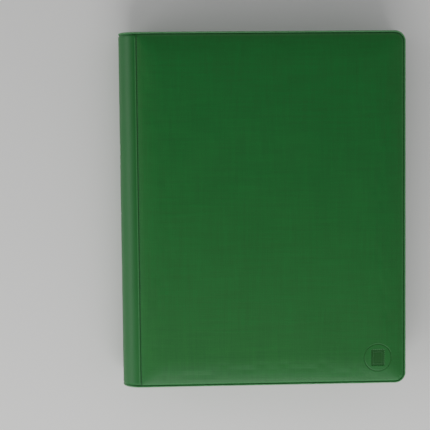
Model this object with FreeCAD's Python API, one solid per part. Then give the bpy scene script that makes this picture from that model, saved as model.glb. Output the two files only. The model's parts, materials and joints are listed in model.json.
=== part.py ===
"""Zip-round padded album with pocket leaves, lying on its back cover.

Frame, in millimetres: +Z up through the album's thickness, +Y towards the head edge,
+X towards the fore-edge, so the spine is on the -X side. The origin is the centre of the
flat face that the back cover rests on.

The front cover is the back cover mirrored in the middle plane of the thickness. The spine
folds about an axis beside the back cover, the front cover about one beside the front of
the spine, and all the leaves about one axis in front of the sewn binding.
"""

import FreeCAD
import Part
import math
import os

# ---- Overall sizes -------------------------------------------------------------------
ALBUM_WIDTH = 359.0        # from the fullest point of the spine to the fore-edge
ALBUM_HEIGHT = 445.0       # from tail edge to head edge
ALBUM_THICKNESS = 61.0     # over both padded covers
CORNER_RADIUS = 14.0       # the covers' fore-edge corners, in plan

# ---- Cover layers, from outside to inside --------------------------------------------
PAD_RISE = 4.0             # how far a cover's padded middle stands proud of its edge
PAD_ROLL = 36.0            # the distance over which that rise builds up
LEATHER = 1.2              # outer leatherette
FOAM_AT_EDGE = 1.0         # foam left between leatherette and board at the edge
BOARD = 2.2                # stiff greyboard
LINING = 0.6               # inner lining cloth
SEAM_FROM_SPINE = 23.0     # spine's fullest point to the seam with the cover panel
EDGE_BINDING = 2.3         # width of the turned and stitched edge
EDGE_ROUNDING = 1.0        # rounding of that edge
STITCH_GROOVE = 0.5        # gap between the turned edge and the padded panel
FIT_GAP = 0.1              # clearance between glued-up pieces

# ---- Spine and hinges ----------------------------------------------------------------
HINGE_INSET = 9.5          # hinge axes, in from the spine's fullest point and the rest face
HINGE_GAP = 0.8            # from an axis to the leather on each side of the fold
SPINE_BOARD = 1.5
SPINE_LINING = 0.6
SPINE_BOARD_MARGIN = 3.0   # spine board and lining stop this far short of the axes
END_TAB_LENGTH = 7.0       # leatherette tab at the zip's ends, past the hinge axes
END_TAB_MARGIN = 9.0       # that tab's ends, from the hinge axes

# ---- Side walls and zip --------------------------------------------------------------
WALL_INSET = 5.0           # outer face of the gusset, in from the cover's edge
WALL_FROM_HINGE = 9.5      # where gusset and tape start, from the hinge axes
GUSSET = 1.0               # gusset leatherette
TAPE_SHOWN = 4.9           # tape seen between gusset and coil
TAPE = 0.7
TAPE_OVERLAP = 3.0         # tape sewn behind the gusset
COIL_DEPTH = 2.1           # coil, through the wall
COIL_HEIGHT = 2.0          # one row of the coil, across the zip
COIL_GAP = 1.2             # between the two rows
STOP_LENGTH = 2.0
STOP_PROUD = 0.4           # how far a stop stands out past the coil
STOP_FROM_WALL_END = 1.0   # tape left past the slider's room behind a stop

# ---- Slider and pull -----------------------------------------------------------------
SLIDER_LENGTH = 13.0
SLIDER_WIDTH = 9.4
SLIDER_TAIL_WIDTH = 8.2
SLIDER_PLATE = 1.1
SLIDER_SIDE_CLEARANCE = 0.5    # between the coil and each plate
SLIDER_LIP = 1.2               # height of the lips that hold the back half of the zip
SLIDER_TAPE_CLEARANCE = 0.3
SLIDER_POST_LENGTH = 4.0
SLIDER_POST_CLEARANCE = 0.2
SLIDER_END_CLEARANCE = 0.5     # slider to stop, with the zip closed
BRIDGE_LENGTH = 8.0
BRIDGE_WIDTH = 3.2
BRIDGE_OPENING = 2.1
BRIDGE_METAL = 0.9
PULL_LENGTH = 38.0             # from its pin to its round end
PULL_THICKNESS = 1.3
PULL_ROOT_WIDTH = 6.4
PULL_END_WIDTH = 8.4
PULL_EYE_WIDTH = 4.2
PULL_EYE_END = 6.4             # far end of the eye, from the pin
PULL_ARM_END = 10.0            # where the tab starts to widen, from the pin
PULL_SLOT_RADIUS = 1.5
PULL_SLOT_LENGTH = 9.0

# ---- Binding and leaves --------------------------------------------------------------
LEAF_COUNT = 20
LEAF_THICKNESS = 0.8
LEAF_STACK_CLEARANCE = 2.1 # outermost leaf to lining
LEAF_AXIS_GAP = 13.0       # leaf's bound edge, from the axis it turns about
LEAF_FORE_CLEARANCE = 11.5 # leaf to the cover's fore-edge
LEAF_END_CLEARANCE = 20.5  # leaf to the cover's head and tail edges
LEAF_CORNER = 4.0
BINDING_DEPTH = 10.0       # binding strip's front face, from the hinge axes
BINDING_WIDTH = 20.0
BINDING_WALL = 1.0         # thickness of the strip round the sewn margins
MARGIN_PROUD = 3.0         # sewn margins stand this far out of the strip
BINDING_END_CLEARANCE = 24.0

# ---- Places worked out from the sizes above -------------------------------------------
FORE_X = ALBUM_WIDTH / 2
SPINE_X = -ALBUM_WIDTH / 2
HALF_HEIGHT = ALBUM_HEIGHT / 2
MIDDLE_Z = ALBUM_THICKNESS / 2
HINGE_X = SPINE_X + HINGE_INSET
HINGE_BACK_Z = HINGE_INSET
HINGE_SPAN = ALBUM_THICKNESS - 2 * HINGE_INSET
SEAM_X = SPINE_X + SEAM_FROM_SPINE
EDGE_Z = PAD_RISE
BOARD_Z = EDGE_Z + LEATHER + FOAM_AT_EDGE
LINING_Z = BOARD_Z + BOARD
INNER_Z = LINING_Z + LINING
FLAP_X = HINGE_X + HINGE_GAP
FLAP_SLOPE = (MIDDLE_Z - BOARD_Z) / (MIDDLE_Z - EDGE_Z - LEATHER)
# The board starts where it meets the inner face of the spine's flap.
BOARD_X = SEAM_X - (SEAM_FROM_SPINE - LEATHER) * math.sqrt(1 - FLAP_SLOPE ** 2)
WALL_X = HINGE_X + WALL_FROM_HINGE
TAPE_INSET = WALL_INSET + GUSSET
TAPE_MIDDLE_INSET = TAPE_INSET + TAPE / 2
COIL_INSET = TAPE_MIDDLE_INSET - COIL_DEPTH / 2
COIL_TOP_Z = MIDDLE_Z - COIL_GAP / 2
COIL_BOTTOM_Z = COIL_TOP_Z - COIL_HEIGHT
GUSSET_TOP_Z = COIL_BOTTOM_Z - TAPE_SHOWN
COIL_X = WALL_X + STOP_LENGTH + SLIDER_END_CLEARANCE + STOP_FROM_WALL_END
SLIDER_X = COIL_X + SLIDER_END_CLEARANCE + SLIDER_LENGTH / 2
SLIDER_OUTER_INSET = COIL_INSET - SLIDER_SIDE_CLEARANCE
SLIDER_INNER_INSET = COIL_INSET + COIL_DEPTH + SLIDER_SIDE_CLEARANCE
SLIDER_FACE_Y = -HALF_HEIGHT + SLIDER_OUTER_INSET - SLIDER_PLATE
PULL_AXIS_Y = SLIDER_FACE_Y - BRIDGE_OPENING / 2
LEAF_AXIS_X = HINGE_X + MIDDLE_Z - HINGE_BACK_Z
LEAF_X = LEAF_AXIS_X + LEAF_AXIS_GAP
LEAF_ROOM = ALBUM_THICKNESS - 2 * (INNER_Z + LEAF_STACK_CLEARANCE) - LEAF_THICKNESS
LEAF_PITCH = LEAF_ROOM / (LEAF_COUNT - 1)

LEAST_CORNER = 2.0         # smallest corner radius of an inner layer
PAD_STEPS = 4              # ruled steps in the padded edge
PAD_CURVE = 2.2            # how quickly the padding rises from its edge
LONG = 4 * (ALBUM_WIDTH + ALBUM_HEIGHT)   # longer than anything that it cuts
PAST = 1.0                 # how far a cutting tool reaches past what it cuts
TOLERANCE = 1e-6


def point(x, y, z=0.0):
    """A point as FreeCAD's vector."""
    return FreeCAD.Vector(x, y, z)


def box(x0, x1, y0, y1, z0, z1):
    """A box between two opposite corners."""
    return Part.makeBox(x1 - x0, y1 - y0, z1 - z0, point(x0, y0, z0))


def polygon_prism(points, direction):
    """A closed outline of points, pushed along direction."""
    return Part.Face(Part.makePolygon(points + points[:1])).extrude(direction)


def cover_outline(inset, spine_edge_x, z):
    """A cover's outline, taken in by inset, with its two fore-edge corners rounded."""
    x1 = FORE_X - inset
    y1 = HALF_HEIGHT - inset
    r = max(CORNER_RADIUS - inset, LEAST_CORNER)
    k = r * (1 - math.sqrt(0.5))
    tail = Part.Arc(point(x1 - r, -y1, z), point(x1 - k, -y1 + k, z), point(x1, -y1 + r, z))
    head = Part.Arc(point(x1, y1 - r, z), point(x1 - k, y1 - k, z), point(x1 - r, y1, z))
    edges = [
        Part.makeLine(point(spine_edge_x, -y1, z), point(x1 - r, -y1, z)),
        tail.toShape(),
        Part.makeLine(point(x1, -y1 + r, z), point(x1, y1 - r, z)),
        head.toShape(),
        Part.makeLine(point(x1 - r, y1, z), point(spine_edge_x, y1, z)),
        Part.makeLine(point(spine_edge_x, y1, z), point(spine_edge_x, -y1, z)),
    ]
    return Part.Wire(edges)


def slab(inset, spine_edge_x, z0, z1):
    """A flat layer with a cover's outline."""
    return Part.Face(cover_outline(inset, spine_edge_x, z0)).extrude(point(0, 0, z1 - z0))


def band(outer_inset, inner_inset, spine_edge_x, z0, z1):
    """A wall along the tail, fore and head edges, open towards the spine."""
    outer = slab(outer_inset, spine_edge_x, z0, z1)
    return outer.cut(slab(inner_inset, spine_edge_x - PAST, z0 - PAST, z1 + PAST))


def pillow(edge_inset, spine_edge_x, rest_z, edge_z, top_z):
    """A padded layer: flat at rest_z in the middle, risen to edge_z round its rim, then
    straight up to top_z."""
    sections = [cover_outline(edge_inset, spine_edge_x, top_z)]
    for step in range(PAD_STEPS + 1):
        share = (step / PAD_STEPS) ** 1.5
        z = rest_z + (edge_z - rest_z) * (1 - share) ** PAD_CURVE
        inset = edge_inset + PAD_ROLL * share
        sections.append(cover_outline(inset, spine_edge_x + PAD_ROLL * share, z))
    return Part.makeLoft(sections, True, True)


def cover_panel():
    """The leatherette skin of a padded cover."""
    inset = EDGE_BINDING + STITCH_GROOVE
    whole = pillow(inset, SEAM_X + FIT_GAP, 0.0, EDGE_Z, BOARD_Z)
    return whole.cut(cover_foam())


def cover_foam():
    """The foam pad between skin and board."""
    inset = EDGE_BINDING + STITCH_GROOVE + LEATHER
    spine_edge_x = SEAM_X + FIT_GAP + LEATHER
    return pillow(inset, spine_edge_x, LEATHER, EDGE_Z + LEATHER, BOARD_Z)


def cover_board():
    """The stiff board that carries the pad."""
    return slab(EDGE_BINDING + FIT_GAP, BOARD_X, BOARD_Z, LINING_Z)


def cover_lining():
    """The cloth that faces the leaves."""
    inset = WALL_INSET + GUSSET + FIT_GAP
    return slab(inset, BOARD_X, LINING_Z, INNER_Z)


def cover_spine_flap():
    """The spine leatherette where it rounds on to the cover, as far as the stitched seam."""
    y = HALF_HEIGHT - EDGE_BINDING - STITCH_GROOVE
    shell = spine_body(0.0, -y, y).cut(spine_body(LEATHER, -y, y))
    return shell.common(box(FLAP_X, SEAM_X, -y, y, EDGE_Z, MIDDLE_Z))


def cover_edge_binding():
    """The turned edge round tail, fore-edge and head, with its turn-in under the gusset."""
    ring = band(0.0, EDGE_BINDING, FLAP_X, EDGE_Z, INNER_Z)
    inside = slab(FIT_GAP, SPINE_X, EDGE_Z - PAST, INNER_Z + PAST)
    outer_edges = []
    for edge in ring.Edges:
        middle = edge.valueAt((edge.FirstParameter + edge.LastParameter) / 2)
        flat = edge.BoundBox.ZLength < TOLERANCE
        outer = not inside.isInside(middle, TOLERANCE, True)
        if flat and outer and middle.x > FLAP_X + FIT_GAP:
            outer_edges.append(edge)
    turn_in = band(EDGE_BINDING, WALL_INSET - FIT_GAP, BOARD_X, LINING_Z, INNER_Z)
    binding = ring.makeFillet(EDGE_ROUNDING, outer_edges).fuse(turn_in).removeSplitter()
    rounded_end = spine_body(0.0, -HALF_HEIGHT, HALF_HEIGHT)
    flat_end = box(SEAM_X, LONG, -LONG, LONG, 0.0, ALBUM_THICKNESS)
    return binding.common(rounded_end.fuse(flat_end))


def cover_gusset():
    """The leatherette side wall, standing on the board's edge."""
    return band(WALL_INSET, WALL_INSET + GUSSET, WALL_X, LINING_Z, GUSSET_TOP_Z)


def cover_zip_tape():
    """The woven tape, sewn behind the gusset's free edge."""
    bottom = GUSSET_TOP_Z - TAPE_OVERLAP
    return band(TAPE_INSET, TAPE_INSET + TAPE, WALL_X, bottom, COIL_BOTTOM_Z)


def cover_zip_coil():
    """One row of the zip's coil."""
    return band(COIL_INSET, COIL_INSET + COIL_DEPTH, COIL_X, COIL_BOTTOM_Z, COIL_TOP_Z)


def cover_zip_stops():
    """The metal stops at both ends of the coil."""
    y0 = HALF_HEIGHT - COIL_INSET - COIL_DEPTH - STOP_PROUD
    y1 = HALF_HEIGHT - COIL_INSET + STOP_PROUD
    x0 = COIL_X - STOP_LENGTH
    head = box(x0, COIL_X, y0, y1, COIL_BOTTOM_Z, COIL_TOP_Z)
    tail = box(x0, COIL_X, -y1, -y0, COIL_BOTTOM_Z, COIL_TOP_Z)
    return Part.makeCompound([tail, head])


def spine_body(depth, y0, y1):
    """All that lies deeper than depth under the spine's rounded outer face, whose section is
    half an ellipse from seam to seam. The far half is there too."""
    middle = point(SEAM_X, y0, MIDDLE_Z)
    radii = [point(SEAM_FROM_SPINE - depth, 0), point(0, 0, MIDDLE_Z - EDGE_Z - depth)]
    minor, major = sorted(radii, key=lambda radius: radius.Length)
    section = Part.Ellipse(middle + major, middle + minor, middle)
    return Part.Face(Part.Wire(section.toShape())).extrude(point(0, y1 - y0, 0))


def spine_arc(outer_depth, inner_depth, y0, y1, z_margin):
    """A curved layer of the spine, between two depths under its outer face."""
    z0 = HINGE_BACK_Z + z_margin
    z1 = HINGE_BACK_Z + HINGE_SPAN - z_margin
    window = box(SPINE_X - PAST, SEAM_X, y0, y1, z0, z1)
    return spine_body(outer_depth, y0, y1).cut(spine_body(inner_depth, y0, y1)).common(window)


def spine_pieces():
    """The spine's leatherette, board, lining, turned ends and zip-end tabs."""
    y_end = HALF_HEIGHT - EDGE_BINDING
    y_cover = y_end - STITCH_GROOVE
    board_depth = LEATHER + SPINE_BOARD
    lining_depth = board_depth + SPINE_LINING
    ends = [
        spine_arc(0.0, lining_depth, y_end, HALF_HEIGHT, SPINE_BOARD_MARGIN),
        spine_arc(0.0, lining_depth, -HALF_HEIGHT, -y_end, SPINE_BOARD_MARGIN),
    ]
    tab_y = HALF_HEIGHT - TAPE_INSET
    tab_x = HINGE_X + FIT_GAP
    tab_z0 = HINGE_BACK_Z + END_TAB_MARGIN
    tab_z1 = HINGE_BACK_Z + HINGE_SPAN - END_TAB_MARGIN
    tabs = []
    for side in (-1, 1):
        y = side * (tab_y - GUSSET / 2)
        tab = box(SPINE_X, tab_x + END_TAB_LENGTH, y - GUSSET / 2, y + GUSSET / 2, tab_z0, tab_z1)
        tabs.append(tab.common(spine_body(lining_depth, -HALF_HEIGHT, HALF_HEIGHT)))
    return {
        "spine_cover": spine_arc(0.0, LEATHER, -y_cover, y_cover, HINGE_GAP),
        "spine_board": spine_arc(LEATHER, board_depth, -y_cover, y_cover, SPINE_BOARD_MARGIN),
        "spine_lining": spine_arc(board_depth, lining_depth, -y_cover, y_cover, SPINE_BOARD_MARGIN),
        "spine_end_bindings": Part.makeCompound(ends),
        "zip_end_tabs": Part.makeCompound(tabs),
    }


def binding_pieces():
    """The strip glued inside the spine, and the leaves' sewn margins that it holds."""
    y = HALF_HEIGHT - BINDING_END_CLEARANCE
    front_x = HINGE_X + BINDING_DEPTH
    half = BINDING_WIDTH / 2
    depth = LEATHER + SPINE_BOARD + SPINE_LINING
    block = box(SPINE_X, front_x, -y, y, MIDDLE_Z - half, MIDDLE_Z + half)
    block = block.common(spine_body(depth, -y, y))
    inner = half - BINDING_WALL
    channel = box(SPINE_X, front_x + PAST, -y, y, MIDDLE_Z - inner, MIDDLE_Z + inner)
    channel = channel.common(spine_body(depth + BINDING_WALL, -y, y))
    margin_y = y - BINDING_WALL
    held = inner - FIT_GAP
    margin_x = front_x + MARGIN_PROUD
    margins = box(SPINE_X, margin_x, -margin_y, margin_y, MIDDLE_Z - held, MIDDLE_Z + held)
    margins = margins.common(spine_body(depth + BINDING_WALL + FIT_GAP, -y, y))
    return {"binding_strip": block.cut(channel), "sewn_margins": margins}


def leaf(number):
    """One pocket leaf, counted from the back cover, with its free corners cut off."""
    z = MIDDLE_Z + (number - (LEAF_COUNT + 1) / 2) * LEAF_PITCH - LEAF_THICKNESS / 2
    x1 = FORE_X - LEAF_FORE_CLEARANCE
    y1 = HALF_HEIGHT - LEAF_END_CLEARANCE
    outline = [
        point(LEAF_X, -y1, z), point(x1 - LEAF_CORNER, -y1, z), point(x1, -y1 + LEAF_CORNER, z),
        point(x1, y1 - LEAF_CORNER, z), point(x1 - LEAF_CORNER, y1, z), point(LEAF_X, y1, z),
    ]
    return polygon_prism(outline, point(0, 0, LEAF_THICKNESS))


def slider_plate(y0, y1):
    """A slider plate between two depths: widest at the end that parts the zip."""
    x0 = SLIDER_X - SLIDER_LENGTH / 2
    x1 = SLIDER_X + SLIDER_LENGTH / 2
    head = SLIDER_WIDTH / 2
    tail = SLIDER_TAIL_WIDTH / 2
    nose = head / 2
    outline = [
        point(x0, y0, MIDDLE_Z - nose), point(x0 + nose, y0, MIDDLE_Z - head),
        point(x1, y0, MIDDLE_Z - tail), point(x1, y0, MIDDLE_Z + tail),
        point(x0 + nose, y0, MIDDLE_Z + head), point(x0, y0, MIDDLE_Z + nose),
    ]
    return polygon_prism(outline, point(0, y1 - y0, 0))


def zip_slider_body():
    """Two plates joined by the post between the rows, with lips on the back half."""
    face = -HALF_HEIGHT
    outer = slider_plate(SLIDER_FACE_Y, face + SLIDER_OUTER_INSET)
    inner = slider_plate(face + SLIDER_INNER_INSET, face + SLIDER_INNER_INSET + SLIDER_PLATE)
    post_x = SLIDER_X - SLIDER_LENGTH / 2
    post_half = COIL_GAP / 2 - SLIDER_POST_CLEARANCE
    post = box(
        post_x, post_x + SLIDER_POST_LENGTH, face + SLIDER_OUTER_INSET, face + SLIDER_INNER_INSET,
        MIDDLE_Z - post_half, MIDDLE_Z + post_half,
    )
    lip_z1 = COIL_BOTTOM_Z - SLIDER_TAPE_CLEARANCE
    lip_z0 = lip_z1 - SLIDER_LIP
    lip_x0 = SLIDER_X - SLIDER_LENGTH / 2 + SLIDER_WIDTH / 4
    lip_x1 = SLIDER_X + SLIDER_LENGTH / 2
    outer_lip = box(
        lip_x0, lip_x1, face + SLIDER_OUTER_INSET, face + TAPE_INSET - SLIDER_TAPE_CLEARANCE,
        lip_z0, lip_z1,
    )
    inner_lip = box(
        lip_x0, lip_x1, face + TAPE_INSET + TAPE + SLIDER_TAPE_CLEARANCE, face + SLIDER_INNER_INSET,
        lip_z0, lip_z1,
    )
    return outer.fuse([inner, post, outer_lip, inner_lip]).removeSplitter()


def zip_slider_bridge():
    """The arch on the slider that holds the pull."""
    half = BRIDGE_LENGTH / 2
    top = SLIDER_FACE_Y - BRIDGE_OPENING - BRIDGE_METAL
    z0 = MIDDLE_Z - BRIDGE_WIDTH / 2
    z1 = MIDDLE_Z + BRIDGE_WIDTH / 2
    arch = box(SLIDER_X - half, SLIDER_X + half, top, SLIDER_FACE_Y, z0, z1)
    window_y = SLIDER_FACE_Y - BRIDGE_OPENING
    window = box(
        SLIDER_X - half + BRIDGE_METAL, SLIDER_X + half - BRIDGE_METAL,
        window_y, SLIDER_FACE_Y + PAST, z0 - PAST, z1 + PAST,
    )
    top_edges = []
    for edge in arch.Edges:
        on_top = abs(edge.BoundBox.YMax - top) < TOLERANCE
        across = edge.BoundBox.ZLength > BRIDGE_METAL
        if on_top and across:
            top_edges.append(edge)
    return arch.makeFillet(BRIDGE_METAL, top_edges).cut(window)


def zip_pull_tab():
    """The pull: a round pin under the bridge, an eye round it, and a tab to hold."""
    half_thick = PULL_THICKNESS / 2
    y0 = PULL_AXIS_Y - half_thick
    root = PULL_ROOT_WIDTH / 2
    end = PULL_END_WIDTH / 2
    tip_x = SLIDER_X + PULL_LENGTH - end
    outline = [
        point(SLIDER_X, y0, MIDDLE_Z - root), point(SLIDER_X + PULL_ARM_END, y0, MIDDLE_Z - root),
        point(tip_x, y0, MIDDLE_Z - end), point(tip_x, y0, MIDDLE_Z + end),
        point(SLIDER_X + PULL_ARM_END, y0, MIDDLE_Z + root), point(SLIDER_X, y0, MIDDLE_Z + root),
    ]
    through = point(0, PULL_THICKNESS, 0)
    across = point(0, 1, 0)
    tab = polygon_prism(outline, through)
    round_end = Part.makeCylinder(end, PULL_THICKNESS, point(tip_x, y0, MIDDLE_Z), across)
    eye = PULL_EYE_WIDTH / 2
    eye_hole = box(
        SLIDER_X - PAST, SLIDER_X + PULL_EYE_END, y0 - PAST, y0 + PULL_THICKNESS + PAST,
        MIDDLE_Z - eye, MIDDLE_Z + eye,
    )
    slot_x = tip_x - PULL_SLOT_LENGTH
    slot = box(
        slot_x, tip_x, y0 - PAST, y0 + PULL_THICKNESS + PAST,
        MIDDLE_Z - PULL_SLOT_RADIUS, MIDDLE_Z + PULL_SLOT_RADIUS,
    )
    for x in (slot_x, tip_x):
        start = point(x, y0 - PAST, MIDDLE_Z)
        hole = Part.makeCylinder(PULL_SLOT_RADIUS, PULL_THICKNESS + 2 * PAST, start, across)
        slot = slot.fuse(hole)
    pin_start = point(SLIDER_X, PULL_AXIS_Y, MIDDLE_Z - root)
    pin = Part.makeCylinder(half_thick, 2 * root, pin_start, point(0, 0, 1))
    return tab.fuse(round_end).cut(eye_hole).cut(slot).fuse(pin).removeSplitter()


def main():
    """Builds every node and writes one STEP file for each."""
    cover_makers = {
        "panel": cover_panel,
        "foam": cover_foam,
        "board": cover_board,
        "lining": cover_lining,
        "spine_flap": cover_spine_flap,
        "edge_binding": cover_edge_binding,
        "gusset": cover_gusset,
        "zip_tape": cover_zip_tape,
        "zip_coil": cover_zip_coil,
        "zip_stops": cover_zip_stops,
    }
    nodes = {}
    for name, make in cover_makers.items():
        back = make()
        nodes["back_" + name] = back
        nodes["front_" + name] = back.mirror(point(0, 0, MIDDLE_Z), point(0, 0, 1))
    nodes.update(spine_pieces())
    nodes.update(binding_pieces())
    for number in range(1, LEAF_COUNT + 1):
        nodes[f"leaf_{number:02d}"] = leaf(number)
    nodes["zip_slider_body"] = zip_slider_body()
    nodes["zip_slider_bridge"] = zip_slider_bridge()
    nodes["zip_pull_tab"] = zip_pull_tab()

    os.makedirs("parts", exist_ok=True)
    for name, shape in nodes.items():
        if not shape.isValid() or not shape.Solids:
            raise SystemExit(f"{name} isn't a valid solid")
        shape.exportStep(f"parts/{name}.step")
        print(f"{name}: {len(shape.Solids)} solid(s), {shape.Volume / 1000:.2f} cm3")


main()
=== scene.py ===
"""The looks of a zip-round padded stamp album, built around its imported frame.

The axes are the frame's own: +Z up through the thickness, +Y towards the head edge, +X towards
the fore-edge. Shapes are worked out in millimetres and become metres when a mesh is made. The
back cover's pieces come first, and the front cover's are the same ones mirrored in the middle
plane of the thickness.
"""

import json
import logging
import math
from dataclasses import dataclass
from enum import Enum

import bmesh
import bpy
import numpy as np
from mathutils import Matrix, Vector

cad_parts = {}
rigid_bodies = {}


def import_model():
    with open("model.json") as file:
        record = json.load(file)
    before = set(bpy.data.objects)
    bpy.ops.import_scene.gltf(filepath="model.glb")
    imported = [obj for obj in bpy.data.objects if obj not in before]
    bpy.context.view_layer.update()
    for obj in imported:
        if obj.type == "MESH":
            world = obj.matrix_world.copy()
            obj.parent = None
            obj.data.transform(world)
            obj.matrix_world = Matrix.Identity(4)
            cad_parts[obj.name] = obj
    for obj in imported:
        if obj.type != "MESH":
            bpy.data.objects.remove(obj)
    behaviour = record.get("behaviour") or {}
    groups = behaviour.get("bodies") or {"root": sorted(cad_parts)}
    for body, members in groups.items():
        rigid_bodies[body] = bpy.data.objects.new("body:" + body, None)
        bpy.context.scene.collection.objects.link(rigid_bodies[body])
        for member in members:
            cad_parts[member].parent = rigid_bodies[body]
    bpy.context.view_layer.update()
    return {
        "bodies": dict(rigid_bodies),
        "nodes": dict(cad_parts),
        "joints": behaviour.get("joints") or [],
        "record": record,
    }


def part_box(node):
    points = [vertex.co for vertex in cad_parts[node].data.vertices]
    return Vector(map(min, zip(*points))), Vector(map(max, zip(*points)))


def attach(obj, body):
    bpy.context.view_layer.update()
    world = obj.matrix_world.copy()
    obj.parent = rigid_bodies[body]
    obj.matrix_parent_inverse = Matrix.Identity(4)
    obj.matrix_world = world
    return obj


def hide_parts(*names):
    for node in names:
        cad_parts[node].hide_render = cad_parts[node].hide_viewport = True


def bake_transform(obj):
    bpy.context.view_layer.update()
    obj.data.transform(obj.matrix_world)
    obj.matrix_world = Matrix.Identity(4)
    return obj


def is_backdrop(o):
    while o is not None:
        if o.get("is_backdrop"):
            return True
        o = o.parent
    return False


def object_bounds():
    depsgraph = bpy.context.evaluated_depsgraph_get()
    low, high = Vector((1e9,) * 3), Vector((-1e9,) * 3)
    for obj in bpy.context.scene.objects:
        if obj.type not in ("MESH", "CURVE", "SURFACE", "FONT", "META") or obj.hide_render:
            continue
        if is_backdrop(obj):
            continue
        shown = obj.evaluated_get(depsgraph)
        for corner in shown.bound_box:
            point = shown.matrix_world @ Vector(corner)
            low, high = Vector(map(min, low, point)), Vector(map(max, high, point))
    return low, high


LOG = logging.getLogger("album")
MM = 0.001
# The bare gap between the spine's leatherette and each padded panel, in millimetres.
SEAM_GAP = 0.1

# The rim that runs round all the album's edges, as (distance in from the edge in millimetres,
# share of the edge's thickness counted from the outer face). It starts in the sewn groove,
# climbs over the turned edge and ends on the turn-in that the lining covers.
RIM_PROFILE = (
    (3.2, 0.32), (2.8, 0.30), (2.4, 0.17), (1.9, 0.05), (1.3, 0.0), (0.75, 0.03), (0.3, 0.13),
    (0.05, 0.29), (0.0, 0.5), (0.05, 0.74), (0.3, 0.9), (0.8, 0.98), (1.6, 1.0), (4.9, 1.0),
)
# How the spine's leatherette rolls down into the same groove.
SHOULDER_PROFILE = ((5.6, 0.0), (4.9, 0.02), (4.3, 0.08), (3.8, 0.18), (3.4, 0.29))


class Side(Enum):
    """Which cover a piece belongs to."""

    BACK = "back"
    FRONT = "front"

    @property
    def body(self) -> str:
        """The frame's body for this cover."""
        return f"{self.value}_cover"


class Mark(Enum):
    """What is pressed into a cover's panel."""

    NONE = "none"
    STAMP = "stamp"


# ---- Colours and nodes ---------------------------------------------------------------


def linear(hex_colour: str) -> tuple[float, float, float, float]:
    """Turns an sRGB hex colour into linear light.

    Args:
        hex_colour: six hex digits, such as "1f5c2c".

    Returns:
        Red, green, blue and an alpha of one.
    """
    channels = [int(hex_colour[i:i + 2], 16) / 255 for i in (0, 2, 4)]
    light = [c / 12.92 if c <= 0.04045 else ((c + 0.055) / 1.055) ** 2.4 for c in channels]
    return (light[0], light[1], light[2], 1.0)


def add_node(
    tree: bpy.types.NodeTree, kind: str, inputs: dict[str | int, object] | None = None,
    **settings: object,
) -> bpy.types.Node:
    """Adds one node with its settings, values and links.

    Args:
        tree: the node tree that gets the node.
        kind: the node's type name.
        inputs: input name or index to a plain value, or to the output socket that feeds it.
        settings: the node's own properties.

    Returns:
        The new node.
    """
    node = tree.nodes.new(kind)
    for name, value in settings.items():
        setattr(node, name, value)
    for key, value in (inputs or {}).items():
        if isinstance(value, bpy.types.NodeSocket):
            tree.links.new(value, node.inputs[key])
        else:
            node.inputs[key].default_value = value
    return node


def new_material(name: str) -> tuple[bpy.types.Material, bpy.types.NodeTree, bpy.types.Node]:
    """Makes an empty material with its shader.

    Args:
        name: the material's name.

    Returns:
        The material, its node tree and its shader node, already linked to the output.
    """
    material = bpy.data.materials.new(name)
    material.use_nodes = True
    tree = material.node_tree
    tree.nodes.clear()
    shader = add_node(tree, "ShaderNodeBsdfPrincipled")
    add_node(tree, "ShaderNodeOutputMaterial", {"Surface": shader.outputs["BSDF"]})
    return material, tree, shader


def wave_scale(pitch: float) -> float:
    """The Wave texture's scale for bands one pitch apart, in metres."""
    return 2 * math.pi / (20 * pitch)


# ---- Finishes ------------------------------------------------------------------------


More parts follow.
